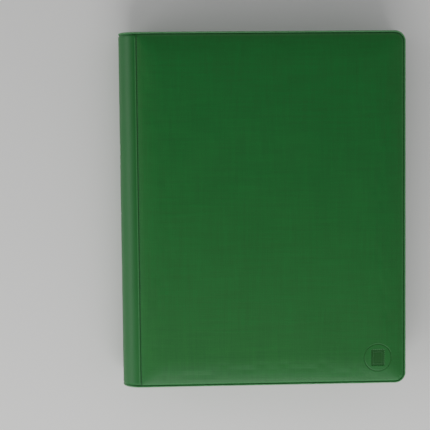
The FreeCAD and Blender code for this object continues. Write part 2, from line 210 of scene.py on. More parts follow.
@dataclass(frozen=True)
class Leatherette:
    """Polyurethane leatherette: cloth with a calendered, embossed and lacquered skin.

    The lacquer gives a satin sheen, the embossing breaks it up, rubbed edges and crests turn a
    lighter, duller green that is partly real rubbing and partly a painted highlight where they
    catch the light, and the hot die darkens what it presses.
    """

    name: str
    colour: str
    deep_colour: str
    rubbed_and_highlight_colour: str
    pressed_colour: str
    grain_pitch: float
    grain_depth: float
    woven: bool
    roughness: float = 0.5
    # Polyurethane is 1.5; the matting agent in its top coat brings the sheen down to this.
    ior: float = 1.44
    lacquer: float = 0.05
    lacquer_roughness: float = 0.35
    mottle_size: float = 55 * MM
    speck_size: float = 2.2 * MM
    rubbed_and_highlight_gain: float = 1.5

    def material(self) -> bpy.types.Material:
        """Makes the material.

        Returns:
            The new material.
        """
        material, tree, shader = new_material(self.name)
        place = add_node(tree, "ShaderNodeTexCoord").outputs["Object"]
        grain = self._grain(tree, place)
        mottle, fine = (
            add_node(
                tree, "ShaderNodeTexNoise",
                {"Vector": place, "Scale": 1 / size, "Detail": detail, "Roughness": rough},
            ).outputs["Fac"]
            for size, detail, rough in ((self.mottle_size, 5.0, 0.6), (self.speck_size, 2.0, 0.5))
        )
        tone = -0.05
        for pattern, share, last in ((mottle, 0.4, False), (grain, 0.5, False), (fine, 0.2, True)):
            tone = add_node(
                tree, "ShaderNodeMath", {0: pattern, 1: share, 2: tone},
                operation="MULTIPLY_ADD", use_clamp=last,
            ).outputs[0]
        # This attribute lightens edges and crests: partly real rubbing, partly a painted highlight
        # where they catch the light.
        marks_and_highlight = add_node(tree, "ShaderNodeAttribute", attribute_name="marks_and_highlight").outputs["Fac"]
        rubbed_and_highlight = add_node(tree, "ShaderNodeMath", {0: marks_and_highlight, 1: fine}, operation="MULTIPLY").outputs[0]
        rubbed_and_highlight = add_node(
            tree, "ShaderNodeMath", {0: rubbed_and_highlight, 1: self.rubbed_and_highlight_gain},
            operation="MULTIPLY", use_clamp=True,
        ).outputs[0]
        pressed = add_node(tree, "ShaderNodeAttribute", attribute_name="pressed").outputs["Fac"]
        colour = linear(self.deep_colour)
        layers = ((tone, self.colour), (rubbed_and_highlight, self.rubbed_and_highlight_colour), (pressed, self.pressed_colour))
        for share, layer in layers:
            colour = add_node(
                tree, "ShaderNodeMix", {0: share, 6: colour, 7: linear(layer)}, data_type="RGBA"
            ).outputs[2]
        shine = add_node(
            tree, "ShaderNodeMapRange",
            {"Value": mottle, "To Min": self.roughness - 0.05, "To Max": self.roughness + 0.05},
        ).outputs[0]
        # Rubbed places have lost their lacquer, so they are duller; the painted-highlight places
        # get the same dulling.
        shine = add_node(
            tree, "ShaderNodeMath", {0: rubbed_and_highlight, 1: 0.12, 2: shine}, operation="MULTIPLY_ADD"
        ).outputs[0]
        bump = add_node(
            tree, "ShaderNodeBump",
            {"Height": grain, "Strength": 0.55, "Distance": self.grain_depth},
        )
        tree.links.new(colour, shader.inputs["Base Color"])
        tree.links.new(shine, shader.inputs["Roughness"])
        tree.links.new(bump.outputs["Normal"], shader.inputs["Normal"])
        shader.inputs["IOR"].default_value = self.ior
        shader.inputs["Coat Weight"].default_value = self.lacquer
        shader.inputs["Coat Roughness"].default_value = self.lacquer_roughness
        return material

    def _grain(self, tree: bpy.types.NodeTree, place: bpy.types.NodeSocket) -> bpy.types.NodeSocket:
        """Makes the embossing: crossed threads with their slubs if woven, pebbles if not.

        Args:
            tree: the material's node tree.
            place: the places on the piece.

        Returns:
            The embossing's height.
        """
        if not self.woven:
            return add_node(
                tree, "ShaderNodeTexVoronoi",
                {"Vector": place, "Scale": 1 / self.grain_pitch, "Smoothness": 0.6},
                feature="SMOOTH_F1",
            ).outputs["Distance"]
        height = None
        for direction, stretch in (("X", (1.0, 0.07, 1.0)), ("Y", (0.07, 1.0, 1.0))):
            threads = add_node(
                tree, "ShaderNodeTexWave",
                {"Vector": place, "Scale": wave_scale(self.grain_pitch), "Distortion": 1.2,
                 "Detail": 1.0, "Detail Scale": 3.0},
                wave_type="BANDS", bands_direction=direction,
            ).outputs["Fac"]
            drawn = add_node(
                tree, "ShaderNodeMapping", {"Vector": place, "Scale": stretch}
            ).outputs["Vector"]
            slubs = add_node(
                tree, "ShaderNodeTexNoise",
                {"Vector": drawn, "Scale": 0.6 / self.grain_pitch, "Detail": 2.0, "Roughness": 0.6},
            ).outputs["Fac"]
            thread = add_node(
                tree, "ShaderNodeMath", {0: threads, 1: 0.18, 2: slubs}, operation="MULTIPLY_ADD"
            ).outputs[0]
            height = thread if height is None else add_node(
                tree, "ShaderNodeMath", {0: height, 1: thread}, operation="ADD"
            ).outputs[0]
        return add_node(
            tree, "ShaderNodeMapRange", {"Value": height, "From Min": 0.72, "From Max": 1.62}
        ).outputs[0]


@dataclass(frozen=True)
class Cloth:
    """Woven cloth: crossed threads, matt, with a soft sheen at grazing angles."""

    name: str
    colour: str
    thread_colour: str
    thread_pitch: float
    roughness: float = 0.85
    sheen: float = 0.3
    diagonal: bool = False

    def material(self) -> bpy.types.Material:
        """Makes the material.

        Returns:
            The new material.
        """
        material, tree, shader = new_material(self.name)
        place = add_node(tree, "ShaderNodeTexCoord").outputs["Object"]
        directions = ("DIAGONAL", "Z") if self.diagonal else ("X", "Y")
        scale = wave_scale(self.thread_pitch)
        threads = [
            add_node(
                tree, "ShaderNodeTexWave",
                {"Vector": place, "Scale": scale, "Distortion": 0.4, "Detail": 1.0},
                wave_type="BANDS", bands_direction=direction,
            ).outputs["Fac"]
            for direction in directions
        ]
        weave = add_node(
            tree, "ShaderNodeMath", {0: threads[0], 1: threads[1]}, operation="MAXIMUM"
        ).outputs[0]
        colour = add_node(
            tree, "ShaderNodeMix",
            {0: weave, 6: linear(self.colour), 7: linear(self.thread_colour)}, data_type="RGBA",
        ).outputs[2]
        relief = self.thread_pitch * 0.15
        bump = add_node(
            tree, "ShaderNodeBump", {"Height": weave, "Strength": 0.6, "Distance": relief}
        )
        tree.links.new(colour, shader.inputs["Base Color"])
        tree.links.new(bump.outputs["Normal"], shader.inputs["Normal"])
        shader.inputs["Roughness"].default_value = self.roughness
        shader.inputs["Sheen Weight"].default_value = self.sheen
        return material


@dataclass(frozen=True)
class Plain:
    """A moulded, pressed, spun or plated finish: one tone, speckled and scuffed a little.

    Where marked_colour is given, the mesh's own marks, such as weld lines, take that colour.
    """

    name: str
    colour: str
    speck_colour: str
    speck: float
    roughness: float
    metallic: float = 0.0
    relief: float = 0.02 * MM
    coat: float = 0.0
    marked_colour: str = ""

    def material(self) -> bpy.types.Material:
        """Makes the material.

        Returns:
            The new material.
        """
        material, tree, shader = new_material(self.name)
        place = add_node(tree, "ShaderNodeTexCoord").outputs["Object"]
        specks = add_node(
            tree, "ShaderNodeTexNoise",
            {"Vector": place, "Scale": 1 / self.speck, "Detail": 4.0, "Roughness": 0.6},
        ).outputs["Fac"]
        colour = add_node(
            tree, "ShaderNodeMix",
            {0: specks, 6: linear(self.colour), 7: linear(self.speck_colour)},
            data_type="RGBA",
        ).outputs[2]
        if self.marked_colour:
            marked = add_node(tree, "ShaderNodeAttribute", attribute_name="marks_and_highlight").outputs["Fac"]
            colour = add_node(
                tree, "ShaderNodeMix", {0: marked, 6: colour, 7: linear(self.marked_colour)},
                data_type="RGBA",
            ).outputs[2]
        shine = add_node(
            tree, "ShaderNodeMapRange",
            {"Value": specks, "To Min": self.roughness * 0.8, "To Max": self.roughness * 1.25},
        ).outputs[0]
        bump = add_node(
            tree, "ShaderNodeBump", {"Height": specks, "Strength": 0.3, "Distance": self.relief}
        )
        tree.links.new(colour, shader.inputs["Base Color"])
        tree.links.new(shine, shader.inputs["Roughness"])
        tree.links.new(bump.outputs["Normal"], shader.inputs["Normal"])
        shader.inputs["Metallic"].default_value = self.metallic
        shader.inputs["Coat Weight"].default_value = self.coat
        return material


# Calendered leatherette embossed like linen: satin, with fine crossed threads that break up
# the sheen. The threads are drawn 2.2 mm apart, about three times the real embossing, because
# finer ones don't show.
# Its pale edge colour is partly real rubbing and partly a painted highlight where the padded edge
# rolls over and catches the light.
PANEL_SKIN = Leatherette(
    "linen_embossed_leatherette", colour="106d28", deep_colour="0c5920", rubbed_and_highlight_colour="3c7d49",
    pressed_colour="034f12", grain_pitch=2.2 * MM, grain_depth=0.14 * MM, woven=True,
    roughness=0.58,
)
# The same material with a fine pebble, rolled smooth: a clearer, brighter sheen on the curve.
# Its pale edge colour is partly rubbing and partly a painted highlight on the folded edge and the
# turned ends.
SPINE_SKIN = Leatherette(
    "smooth_leatherette", colour="11692a", deep_colour="0c5720", rubbed_and_highlight_colour="74a97a",
    pressed_colour="044d14", grain_pitch=0.8 * MM, grain_depth=0.05 * MM, woven=False,
)
# Turned over the board's edge and pressed: shinier, and paler along its outer corner, partly
# from rubbing and partly as a painted highlight where the crest catches the light.
RIM_SKIN = Leatherette(
    "turned_edge_leatherette", colour="1a7533", deep_colour="136027", rubbed_and_highlight_colour="74a97a",
    pressed_colour="0a4517", grain_pitch=0.8 * MM, grain_depth=0.05 * MM, woven=False,
    roughness=0.42,
)
# Thin, soft leatherette for the side walls: a shade darker, because no light box faces it.
# Its pale rolled top is partly rubbing and partly a painted highlight.
WALL_SKIN = Leatherette(
    "gusset_leatherette", colour="125c23", deep_colour="0b4819", rubbed_and_highlight_colour="3c7d49",
    pressed_colour="0a4517", grain_pitch=0.8 * MM, grain_depth=0.06 * MM, woven=False,
)
# Plain-woven cotton, dyed black: matt, with threads twice as coarse as real so that they show.
LINING_CLOTH = Cloth(
    "woven_lining", "0c0d0e", "1d1f21", thread_pitch=0.9 * MM, roughness=0.9, sheen=0.25
)
# Twill-woven polyester tape: slanting ribs, drawn twice as coarse as real, and a faint sheen.
TAPE_CLOTH = Cloth(
    "woven_zip_tape", "0a3312", "185023", thread_pitch=0.9 * MM, roughness=0.8, sheen=0.2,
    diagonal=True,
)
# Twisted and bonded polyester thread: dark and waxy, so each stitch has a small highlight.
THREAD = Plain("bonded_thread", "0a3314", "05220b", speck=0.6 * MM, roughness=0.55)
# Drawn nylon wire, heat-set into a coil: glossy, so the turns sparkle in a row.
COIL = Plain("nylon_coil", "114a1f", "1e6330", speck=0.8 * MM, roughness=0.35)
# Die-cast zinc, nickel-plated: bright metal, a little clouded by handling.
NICKEL = Plain(
    "nickel_plated_zinc", "cfccc4", "b7b4ac", speck=1.2 * MM, roughness=0.22, metallic=1.0,
    relief=0.01 * MM,
)
# Calendered polypropylene sheet: near-black and satin.
PAGE = Plain("black_polypropylene_page", "101113", "191b1e", speck=3.0 * MM, roughness=0.5)
# Clear cast film over the black page: glossy and slightly wavy, with whitish weld lines.
FILM = Plain(
    "clear_film_on_black", "0c0d0f", "15171a", speck=20.0 * MM, roughness=0.12, relief=0.05 * MM,
    coat=0.6, marked_colour="4a4e52",
)
# Cut polyether foam: cream, matt and pitted.
FOAM = Plain("open_cell_foam", "d8d2bf", "b9b29c", speck=1.0 * MM, roughness=0.95, relief=0.4 * MM)
# Pressed recycled board: grey, matt and fibrous.
GREYBOARD = Plain(
    "pressed_greyboard", "8d887e", "6f6a60", speck=1.5 * MM, roughness=0.9, relief=0.1 * MM
)


class Finishes:
    """Each finish made once, on first use."""

    def __init__(self) -> None:
        """Starts with nothing made."""
        self._made: dict[str, bpy.types.Material] = {}

    def get(self, finish: Leatherette | Cloth | Plain) -> bpy.types.Material:
        """Gives the material of a finish.

        Args:
            finish: the finish.

        Returns:
            Its material, the same one each time.
        """
        if finish.name not in self._made:
            self._made[finish.name] = finish.material()
        return self._made[finish.name]


# ---- Shared geometry -----------------------------------------------------------------


@dataclass(frozen=True)
class Layout:
    """The places that the pieces share, read from the frame, in millimetres."""

    spine_x: float
    fore_x: float
    half_height: float
    thickness: float
    seam_x: float
    edge_z: float
    inner_z: float
    hinge_x: float
    hinge_z: float
    corner: float = 14.0

    @classmethod
    def from_frame(cls, joints: list[dict]) -> "Layout":
        """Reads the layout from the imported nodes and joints.

        Args:
            joints: the record's joints.

        Returns:
            The layout.
        """
        low, high = (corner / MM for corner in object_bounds())
        binding_low, binding_high = (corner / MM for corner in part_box("back_edge_binding"))
        panel_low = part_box("back_panel")[0] / MM
        hinge = next(joint for joint in joints if joint["name"] == "spine_fold")["pos_m"]
        return cls(
            spine_x=low.x, fore_x=high.x, half_height=high.y, thickness=high.z,
            seam_x=panel_low.x - SEAM_GAP, edge_z=binding_low.z, inner_z=binding_high.z,
            hinge_x=hinge[0] / MM, hinge_z=hinge[2] / MM,
        )

    @property
    def middle_z(self) -> float:
        """The middle plane of the thickness."""
        return self.thickness / 2

    @property
    def edge(self) -> float:
        """How thick a cover's edge is."""
        return self.inner_z - self.edge_z

    def on_side(self, points: np.ndarray, side: Side) -> np.ndarray:
        """Mirrors points made for the back cover if the piece is on the front one.

        Args:
            points: the points, whose last axis is x, y, z.
            side: the piece's cover.

        Returns:
            The points on that cover.
        """
        if side is Side.BACK:
            return points
        return points * (1, 1, -1) + (0, 0, self.thickness)

    def spine_point(self, angle: np.ndarray, y: np.ndarray, depth: np.ndarray) -> np.ndarray:
        """Points under the spine's half-elliptical face.

        Args:
            angle: from -90 degrees at the back seam to 90 degrees at the front one, in radians.
            y: distance along the spine.
            depth: distance in from the outer face.

        Returns:
            The points, in the shape that the three broadcast to.
        """
        x = self.seam_x - (self.seam_x - self.spine_x - depth) * np.cos(angle)
        z = self.middle_z + (self.middle_z - self.edge_z - depth) * np.sin(angle)
        return np.stack(np.broadcast_arrays(x, y, z), -1)

    def edge_path(self, start_x: float, step: float) -> tuple[np.ndarray, np.ndarray]:
        """The cover's outline from the tail seam round the fore-edge to the head seam.

        Args:
            start_x: where the path starts and ends.
            step: about how far apart its points are.

        Returns:
            The points and their outward directions, both in plan.
        """
        r = self.corner
        x1, y1 = self.fore_x - r, self.half_height - r
        along = np.linspace(start_x, x1, max(2, round((x1 - start_x) / step)))[:-1]
        across = np.linspace(-y1, y1, max(2, round(2 * y1 / step)))[1:-1]
        turn = np.radians(np.linspace(-90, 0, max(8, round(r * 1.6 / step)) + 1))
        out = np.stack([np.cos(turn), np.sin(turn)], -1)
        tail = np.stack([along, np.full_like(along, -self.half_height)], -1)
        fore = np.stack([np.full_like(across, self.fore_x), across], -1)
        tail_corner = (x1, -y1) + r * out
        half = np.concatenate([tail, tail_corner])
        half_out = np.concatenate([np.tile((0.0, -1.0), (len(tail), 1)), out])
        points = np.concatenate([half, fore, half[::-1] * (1, -1)])
        fore_out = np.tile((1.0, 0.0), (len(fore), 1))
        outward = np.concatenate([half_out, fore_out, half_out[::-1] * (1, -1)])
        return points, outward


def grid_lines(
    low: float, high: float, coarse: float, zones: list[tuple[float, float, float]]
) -> np.ndarray:
    """Positions from low to high, closer together inside the zones.

    Args:
        low: first position.
        high: last position.
        coarse: the step outside every zone.
        zones: each zone's start, end and step.

    Returns:
        The rising positions.
    """
    nearly = 1e-9
    lines = [low]
    while lines[-1] < high - nearly:
        here = lines[-1]
        steps = [step for start, end, step in zones if start <= here < end - nearly]
        ahead = here + min(steps + [coarse])
        starts = [start for start, _, _ in zones if here + nearly < start < ahead]
        lines.append(min([ahead, high] + starts))
    return np.array(lines)


def smooth_step(value: np.ndarray, low: float, high: float) -> np.ndarray:
    """Zero below low, one above high and smooth between."""
    t = np.clip((value - low) / (high - low), 0, 1)
    return t * t * (3 - 2 * t)


def bell(value: np.ndarray, centre: float, width: float) -> np.ndarray:
    """One at the centre, falling off smoothly on both sides."""
    return np.exp(-((value - centre) / width) ** 2)


def distances(path: np.ndarray) -> np.ndarray:
    """How far along a path each of its points lies."""
    return np.concatenate([[0], np.cumsum(np.linalg.norm(np.diff(path, axis=0), axis=1))])


def unit(vectors: np.ndarray) -> np.ndarray:
    """The same directions, each one long."""
    return vectors / np.linalg.norm(vectors, axis=-1, keepdims=True)


def rounded(first: np.ndarray, corner: np.ndarray, last: np.ndarray, t: np.ndarray) -> np.ndarray:
    """The places from first to last on the curve that rounds a corner."""
    return (1 - t) ** 2 * first + 2 * t * (1 - t) * corner + t ** 2 * last


def soft_min(first: np.ndarray, second: np.ndarray, reach: float) -> np.ndarray:
    """The lesser of two values, rounded where they are within reach of each other."""
    blend = np.clip(reach - np.abs(first - second), 0, None) / reach
    return np.minimum(first, second) - blend * blend * reach / 4


def ripple(along: np.ndarray, lengths: tuple[float, ...], phase: float) -> np.ndarray:
    """A gentle unevenness between -1 and 1 made of a few waves of the given lengths."""
    turns = 2 * math.pi * along
    waves = [np.sin(turns / length + phase * k) for k, length in enumerate(lengths, 1)]
    return sum(waves) / len(lengths)


class Shell:
    """Gathers grids of points, in millimetres, into one mesh."""

    def __init__(self) -> None:
        """Starts empty."""
        self._points: list[np.ndarray] = []
        self._faces: list[list[int]] = []
        self._marks_and_highlight: list[np.ndarray] = []
        self._pressed: list[np.ndarray] = []
        self._count = 0

    def add(
        self, points: np.ndarray, faces: list[list[int]], marks_and_highlight: np.ndarray | float = 0.0,
        pressed: np.ndarray | float = 0.0,
    ) -> None:
        """Adds loose points and faces.

        Args:
            points: the points, whose last axis is x, y, z.
            faces: corner numbers that count from the first of these points.
            marks_and_highlight: how much each point is marked (rubbed on leatherette, welded on the
                leaves) and lit by a painted highlight, from 0 to 1.
            pressed: how far each point is burnished by the stamp, from 0 to 1.
        """
        shape = points.shape[:-1]
        flat = points.reshape(-1, 3)
        self._points.append(flat)
        self._faces.extend([corner + self._count for corner in face] for face in faces)
        self._marks_and_highlight.append(np.broadcast_to(marks_and_highlight, shape).reshape(-1))
        self._pressed.append(np.broadcast_to(pressed, shape).reshape(-1))
        self._count += len(flat)

    def add_grid(
        self, points: np.ndarray, wrap: bool = False, caps: bool = False,
        marks_and_highlight: np.ndarray | float = 0.0, pressed: np.ndarray | float = 0.0,
    ) -> None:
        """Adds a grid of points, row after row.

        Args:
            points: rows by columns by x, y, z.
            wrap: whether each row closes on itself.
            caps: whether the first and last rows are filled.
            marks_and_highlight: how much each point is marked (rubbed on leatherette, welded on the
                leaves) and lit by a painted highlight, from 0 to 1.
            pressed: how far each point is burnished by the stamp, from 0 to 1.
        """
        rows, columns = points.shape[:2]
        faces = self._grid_faces(rows, columns, wrap).tolist()
        if caps:
            first = list(range(columns))
            faces += [first[::-1], [(rows - 1) * columns + corner for corner in first]]
        self.add(points, faces, marks_and_highlight, pressed)

    def add_slab(
        self, outer: np.ndarray, inner: np.ndarray, marks_and_highlight: np.ndarray | float = 0.0,
        pressed: np.ndarray | float = 0.0,
    ) -> None:
        """Adds the closed space between two grids of the same shape.

        Args:
            outer: rows by columns by x, y, z.
            inner: the same for the other face.
            marks_and_highlight: how much each outer point is marked (rubbed on leatherette, welded
                on the leaves) and lit by a painted highlight, from 0 to 1.
            pressed: how far each outer point is burnished by the stamp, from 0 to 1.
        """
        rows, columns = outer.shape[:2]
        number = np.arange(rows * columns).reshape(rows, columns)
        rim = np.concatenate([number[0, :-1], number[:-1, -1], number[-1, :0:-1], number[:0:-1, 0]])
        following = np.roll(rim, -1)
        below = rows * columns
        front = self._grid_faces(rows, columns, False)
        sides = np.stack([rim, following, following + below, rim + below], -1)
        faces = np.concatenate([front, front[:, ::-1] + below, sides[:, ::-1]]).tolist()
        both = np.stack([outer, inner])
        self.add(
            both, faces, np.stack([np.broadcast_to(marks_and_highlight, (rows, columns))] * 2),
            np.stack([np.broadcast_to(pressed, (rows, columns))] * 2),
        )

    @staticmethod
    def _grid_faces(rows: int, columns: int, wrap: bool) -> np.ndarray:
        """Numbers the four corners of each face of a grid.

        Args:
            rows: how many rows of points.
            columns: how many points in each.
            wrap: whether each row closes on itself.

        Returns:
            Faces by four corner numbers.
        """
        strips = columns if wrap else columns - 1
        i, j = np.meshgrid(np.arange(rows - 1), np.arange(strips), indexing="ij")
        after = (j + 1) % columns
        here, ahead = i * columns, (i + 1) * columns
        return np.stack([here + j, ahead + j, ahead + after, here + after], -1).reshape(-1, 4)

    def make(
        self, name: str, material: bpy.types.Material, sharp: float = 55.0
    ) -> bpy.types.Object:
        """Makes the mesh object.

        Args:
            name: the piece's name.
            material: its material.
            sharp: edges that turn by more than this many degrees are shaded sharp.

        Returns:
            The new object, at the origin.
        """
        mesh = bpy.data.meshes.new(name)
        mesh.from_pydata((np.concatenate(self._points) * MM).tolist(), [], self._faces)
        for attribute, values in (("marks_and_highlight", self._marks_and_highlight), ("pressed", self._pressed)):
            layer = mesh.attributes.new(attribute, "FLOAT", "POINT")
            layer.data.foreach_set("value", np.concatenate(values).astype(np.float32))
        shape = bmesh.new()
        shape.from_mesh(mesh)
        bmesh.ops.recalc_face_normals(shape, faces=shape.faces)
        shape.to_mesh(mesh)
        shape.free()
        mesh.shade_smooth()
        mesh.set_sharp_from_angle(angle=math.radians(sharp))
        mesh.materials.append(material)
        piece = bpy.data.objects.new(name, mesh)
        bpy.context.scene.collection.objects.link(piece)
        return piece


def finish_piece(
    piece: bpy.types.Object, replaced: list[str], body: str = "",
    bend: tuple[str, str, tuple, tuple] | None = None,
) -> None:
    """Ties a piece to its body, or only bakes its place when a bend is given, and reports it.

    Args:
        piece: the finished piece.
        replaced: the CAD nodes that it stands for.
        body: the body that it rides on, when no bend is given.
        bend: two bodies and two places, in millimetres; when given, the piece is left unattached
            with its place baked, and these values are not otherwise used.
    """
    if bend:
        start, end = (tuple(value * MM for value in place) for place in bend[2:])
        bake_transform(piece)
        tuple(start)
        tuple(end)
    else:
        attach(piece, body)
    if replaced:
        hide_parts(*replaced)
    LOG.info("%s: %d points", piece.name, len(piece.data.vertices))


def add_stitches(
    shell: Shell, centres: np.ndarray, along: np.ndarray, outward: np.ndarray,
    length: float, width: float,
) -> None:
    """Adds a row of stitches, each a short thread that arches from hole to hole.

    Args:
        shell: the mesh that gets them.
        centres: each stitch's middle.
        along: each stitch's direction.
        outward: which way each stands off the leatherette.
        length: from hole to hole.
        width: the thread's width.
    """
    t = np.linspace(-1, 1, 7)
    spin = np.linspace(0, 2 * math.pi, 7)[:-1]
    across = np.cross(along, outward)
    thread = width / 2 * np.sqrt(np.clip(1 - 0.75 * t ** 4, 0, 1))
    rise = width * (0.35 - 0.9 * t ** 4)
    for centre, ahead, side, up in zip(centres, along, across, outward):
        spine = centre + np.outer(t * length / 2, ahead) + np.outer(rise, up)
        ring = np.outer(np.cos(spin), side) + 0.7 * np.outer(np.sin(spin), up)
        shell.add_grid(spine[:, None] + thread[:, None, None] * ring[None], wrap=True, caps=True)


@dataclass(frozen=True)
class StampDie:
    """The die pressed into the leatherette: a ring round a blank, perforated postage stamp."""

    x: float
    y: float
    ring: float
    width: float
    height: float
    line: float = 0.75
    ring_share: float = 0.6
    frame_share: float = 0.7
    hole_pitch: float = 2.6
    hole: float = 0.75
    edge: float = 0.35
    frame_inset: float = 0.17

    def depth(self, x: np.ndarray, y: np.ndarray) -> np.ndarray:
        """How far the die presses at each place, from 0 to 1.

        Args:
            x: places across.
            y: places up.

        Returns:
            The share of the die's full depth.
        """
        u, v = x - self.x, y - self.y
        half, soft = self.line / 2, self.edge / 2
        ring = smooth_step(-np.abs(np.hypot(u, v) - self.ring), -half - self.edge, -half + 0.1)
        border = np.maximum(np.abs(u) - self.width / 2, np.abs(v) - self.height / 2)
        stamp = smooth_step(-border, -soft, soft)
        for across, limit, along in ((u, self.width / 2, v), (v, self.height / 2, u)):
            nearest_hole = np.round(along / self.hole_pitch) * self.hole_pitch
            from_hole = np.hypot(np.abs(across) - limit, along - nearest_hole)
            stamp = stamp * smooth_step(from_hole, self.hole - soft, self.hole + soft)
        frame = smooth_step(-np.abs(border + self.width * self.frame_inset), -0.45, -0.1)
        return np.maximum(ring * self.ring_share, stamp * (1 - self.frame_share * frame))


@dataclass(frozen=True)
class TitleFrame:
    """A blank title frame pressed along the spine: a rounded line round an empty panel."""

    y0: float
    y1: float
    width: float
    corner: float = 2.5
    line: float = 0.9
    edge: float = 0.35

    def depth(self, x: np.ndarray, y: np.ndarray) -> np.ndarray:
        """How far the frame presses at each place, from 0 to 1.

        Args:
            x: places across.
            y: places up.

        Returns:
            The share of the die's full depth.
        """
        u = np.abs(x) - (self.width / 2 - self.corner)
        v = np.abs(y - (self.y0 + self.y1) / 2) - ((self.y1 - self.y0) / 2 - self.corner)
        away = np.hypot(np.clip(u, 0, None), np.clip(v, 0, None))
        away = away + np.clip(np.maximum(u, v), None, 0)
        lines = [
            smooth_step(-np.abs(away - self.corner + inset), -half - self.edge, -half + 0.1)
            for inset, half in ((0.0, self.line / 2), (1.7, self.line / 4))
        ]
        return np.maximum(*lines)


# ---- Padded covers -------------------------------------------------------------------


@dataclass
class CoverPanel:
    """The leatherette drawn over a cover's foam pad, with its rolled edge."""

    layout: Layout
    side: Side
    mark: Mark
    inset: float = 2.8
    rise: float = 4.0
    roll: float = 36.0
    curve: float = 2.2
    tuck: float = 0.95
    tuck_width: float = 2.4
    skin: float = 1.0
    pucker: float = 0.22
    press: float = 0.55
    slack: float = 0.10
    fullness: float = 0.35
    settling_grid: tuple[int, int] = (56, 72)
    settling_frames: int = 20
    pressure: float = 4.0
    stretch_stiffness: float = 40.0
    bending_stiffness: float = 6.0
    spare_cloth: float = 0.002
    die: StampDie = StampDie(x=143.0, y=-188.5, ring=17.2, width=17.0, height=21.0)

    def build(self, finishes: Finishes) -> bpy.types.Object:
        """Makes the panel.

        Args:
            finishes: the shared finishes.

        Returns:
            The finished piece.
        """
        x, y, d = self._plan()
        outer_z = self._height(x, y, d) - self._settle(x, y)
        pressed = np.zeros_like(x)
        if self.mark is Mark.STAMP:
            pressed = self.die.depth(x, y)
        outer_z = outer_z + self.press * pressed
        inner_z = np.maximum(outer_z, self.layout.edge_z) + self.skin
        # Paler along the panel's rolled edge, away from the seam: partly rubbing, partly a painted
        # highlight where the edge rolls over and catches the light.
        marks_and_highlight = 0.4 * bell(d, 1.4, 1.3) * smooth_step(x - self.layout.seam_x, 0.0, 8.0)
        outer = self.layout.on_side(np.stack([x, y, outer_z], -1), self.side)
        inner = self.layout.on_side(np.stack([x, y, inner_z], -1), self.side)
        shell = Shell()
        shell.add_slab(outer, inner, marks_and_highlight, pressed)
        piece = shell.make(f"{self.side.value}_padded_panel", finishes.get(PANEL_SKIN))
        finish_piece(piece, [f"{self.side.value}_panel"], self.side.body)
        return piece

    @property
    def _extent(self) -> tuple[float, float, float]:
        """Where the panel starts and ends across, and half of its height."""
        lay = self.layout
        return lay.seam_x + SEAM_GAP, lay.fore_x - self.inset, lay.half_height - self.inset

    def _plan(self, coarse: float = 3.5) -> tuple[np.ndarray, np.ndarray, np.ndarray]:
        """Lays out the panel's points in plan.

        Args:
            coarse: the step away from the edges and the mark.

        Returns:
            Across, up, and distance in from the panel's edge.
        """
        x0, x1, y1 = self._extent
        rims = [(0.0, 3.2, 0.4), (3.2, 8.0, 0.8), (8.0, 16.0, 1.6)]
        x_zones, y_zones = [], []
        for near, far, step in rims:
            x_zones += [(x0 + near, x0 + far, step), (x1 - far, x1 - near, step)]
            y_zones += [(-y1 + near, -y1 + far, step), (y1 - far, y1 - near, step)]
        if self.mark is Mark.STAMP:
            reach = self.die.ring + 2.0
            x_zones.append((self.die.x - reach, self.die.x + reach, 0.4))
            y_zones.append((self.die.y - reach, self.die.y + reach, 0.4))
        x, y = np.meshgrid(
            grid_lines(x0, x1, coarse, x_zones), grid_lines(-y1, y1, coarse, y_zones), indexing="ij"
        )
        r = self.layout.corner - self.inset
        u, v = np.clip((x - x1 + r) / r, 0, 1), np.clip((np.abs(y) - y1 + r) / r, 0, 1)
        in_corner = (u > 0) & (v > 0)
        x = np.where(in_corner, x1 - r + r * u * np.sqrt(1 - v * v / 2), x)
        y = np.where(in_corner, np.sign(y) * (y1 - r + r * v * np.sqrt(1 - u * u / 2)), y)
        return x, y, self._from_edge(x, y)

    def _from_edge(self, x: np.ndarray, y: np.ndarray, reach: float = 0.0) -> np.ndarray:
        """How far each place is in from the panel's edge.

        Args:
            x: places across.
            y: places up.
            reach: how far from the mitres they are rounded.

        Returns:
            The distances.
        """
        x0, x1, y1 = self._extent
        r = self.layout.corner - self.inset
        corner = r - np.hypot(np.clip(x - x1 + r, 0, None), np.clip(np.abs(y) - y1 + r, 0, None))
        sides = np.minimum(x - x0, x1 - x)
        ends = y1 - np.abs(y)
        nearest = soft_min(sides, ends, reach) if reach else np.minimum(sides, ends)
        return np.clip(np.minimum(nearest, np.where(corner < r, corner, np.inf)), 0, None)

    def _height(self, x: np.ndarray, y: np.ndarray, d: np.ndarray) -> np.ndarray:
        """The outer face's height, on the back cover.

        Args:
            x: places across.
            y: places up.
            d: distance in from the edge.

        Returns:
            Heights above the rest face.
        """
        mitred = self._from_edge(x, y, 9.0)
        crown = self.rise * (1 - np.clip(mitred / self.roll, 0, 1)) ** self.curve
        at_seam = 1 - 0.6 * (np.abs(x - self.layout.seam_x - d) < 0.5)
        rolled = self.tuck * at_seam * (1 - np.clip(d / (self.tuck_width * at_seam), 0, 1)) ** 2
        r = self.layout.corner - self.inset
        u = x - (self.layout.fore_x - self.inset - r)
        v = np.abs(y) - (self.layout.half_height - self.inset - r)
        turning = np.clip(u / 4, 0, 1) * np.clip(v / 4, 0, 1)
        gathers = self.pucker * turning * np.exp(-d / 4.5)
        gathers = gathers * np.sin(11 * np.arctan2(v, u) + np.sign(y))
        along = np.where(self.layout.half_height - np.abs(y) < 20, x, y)
        slack = self.slack * np.exp(-d / 7) * ripple(along, (23.0, 37.0, 61.0), 1.7)
        broad = ripple(x + 0.3 * y, (97.0, 151.0), 0.6) * ripple(y - 0.4 * x, (131.0, 187.0), 2.1)
        flat = smooth_step(d, 0.0, 30.0)
        return crown + rolled + gathers + slack + self.slack * (1 + broad) * flat

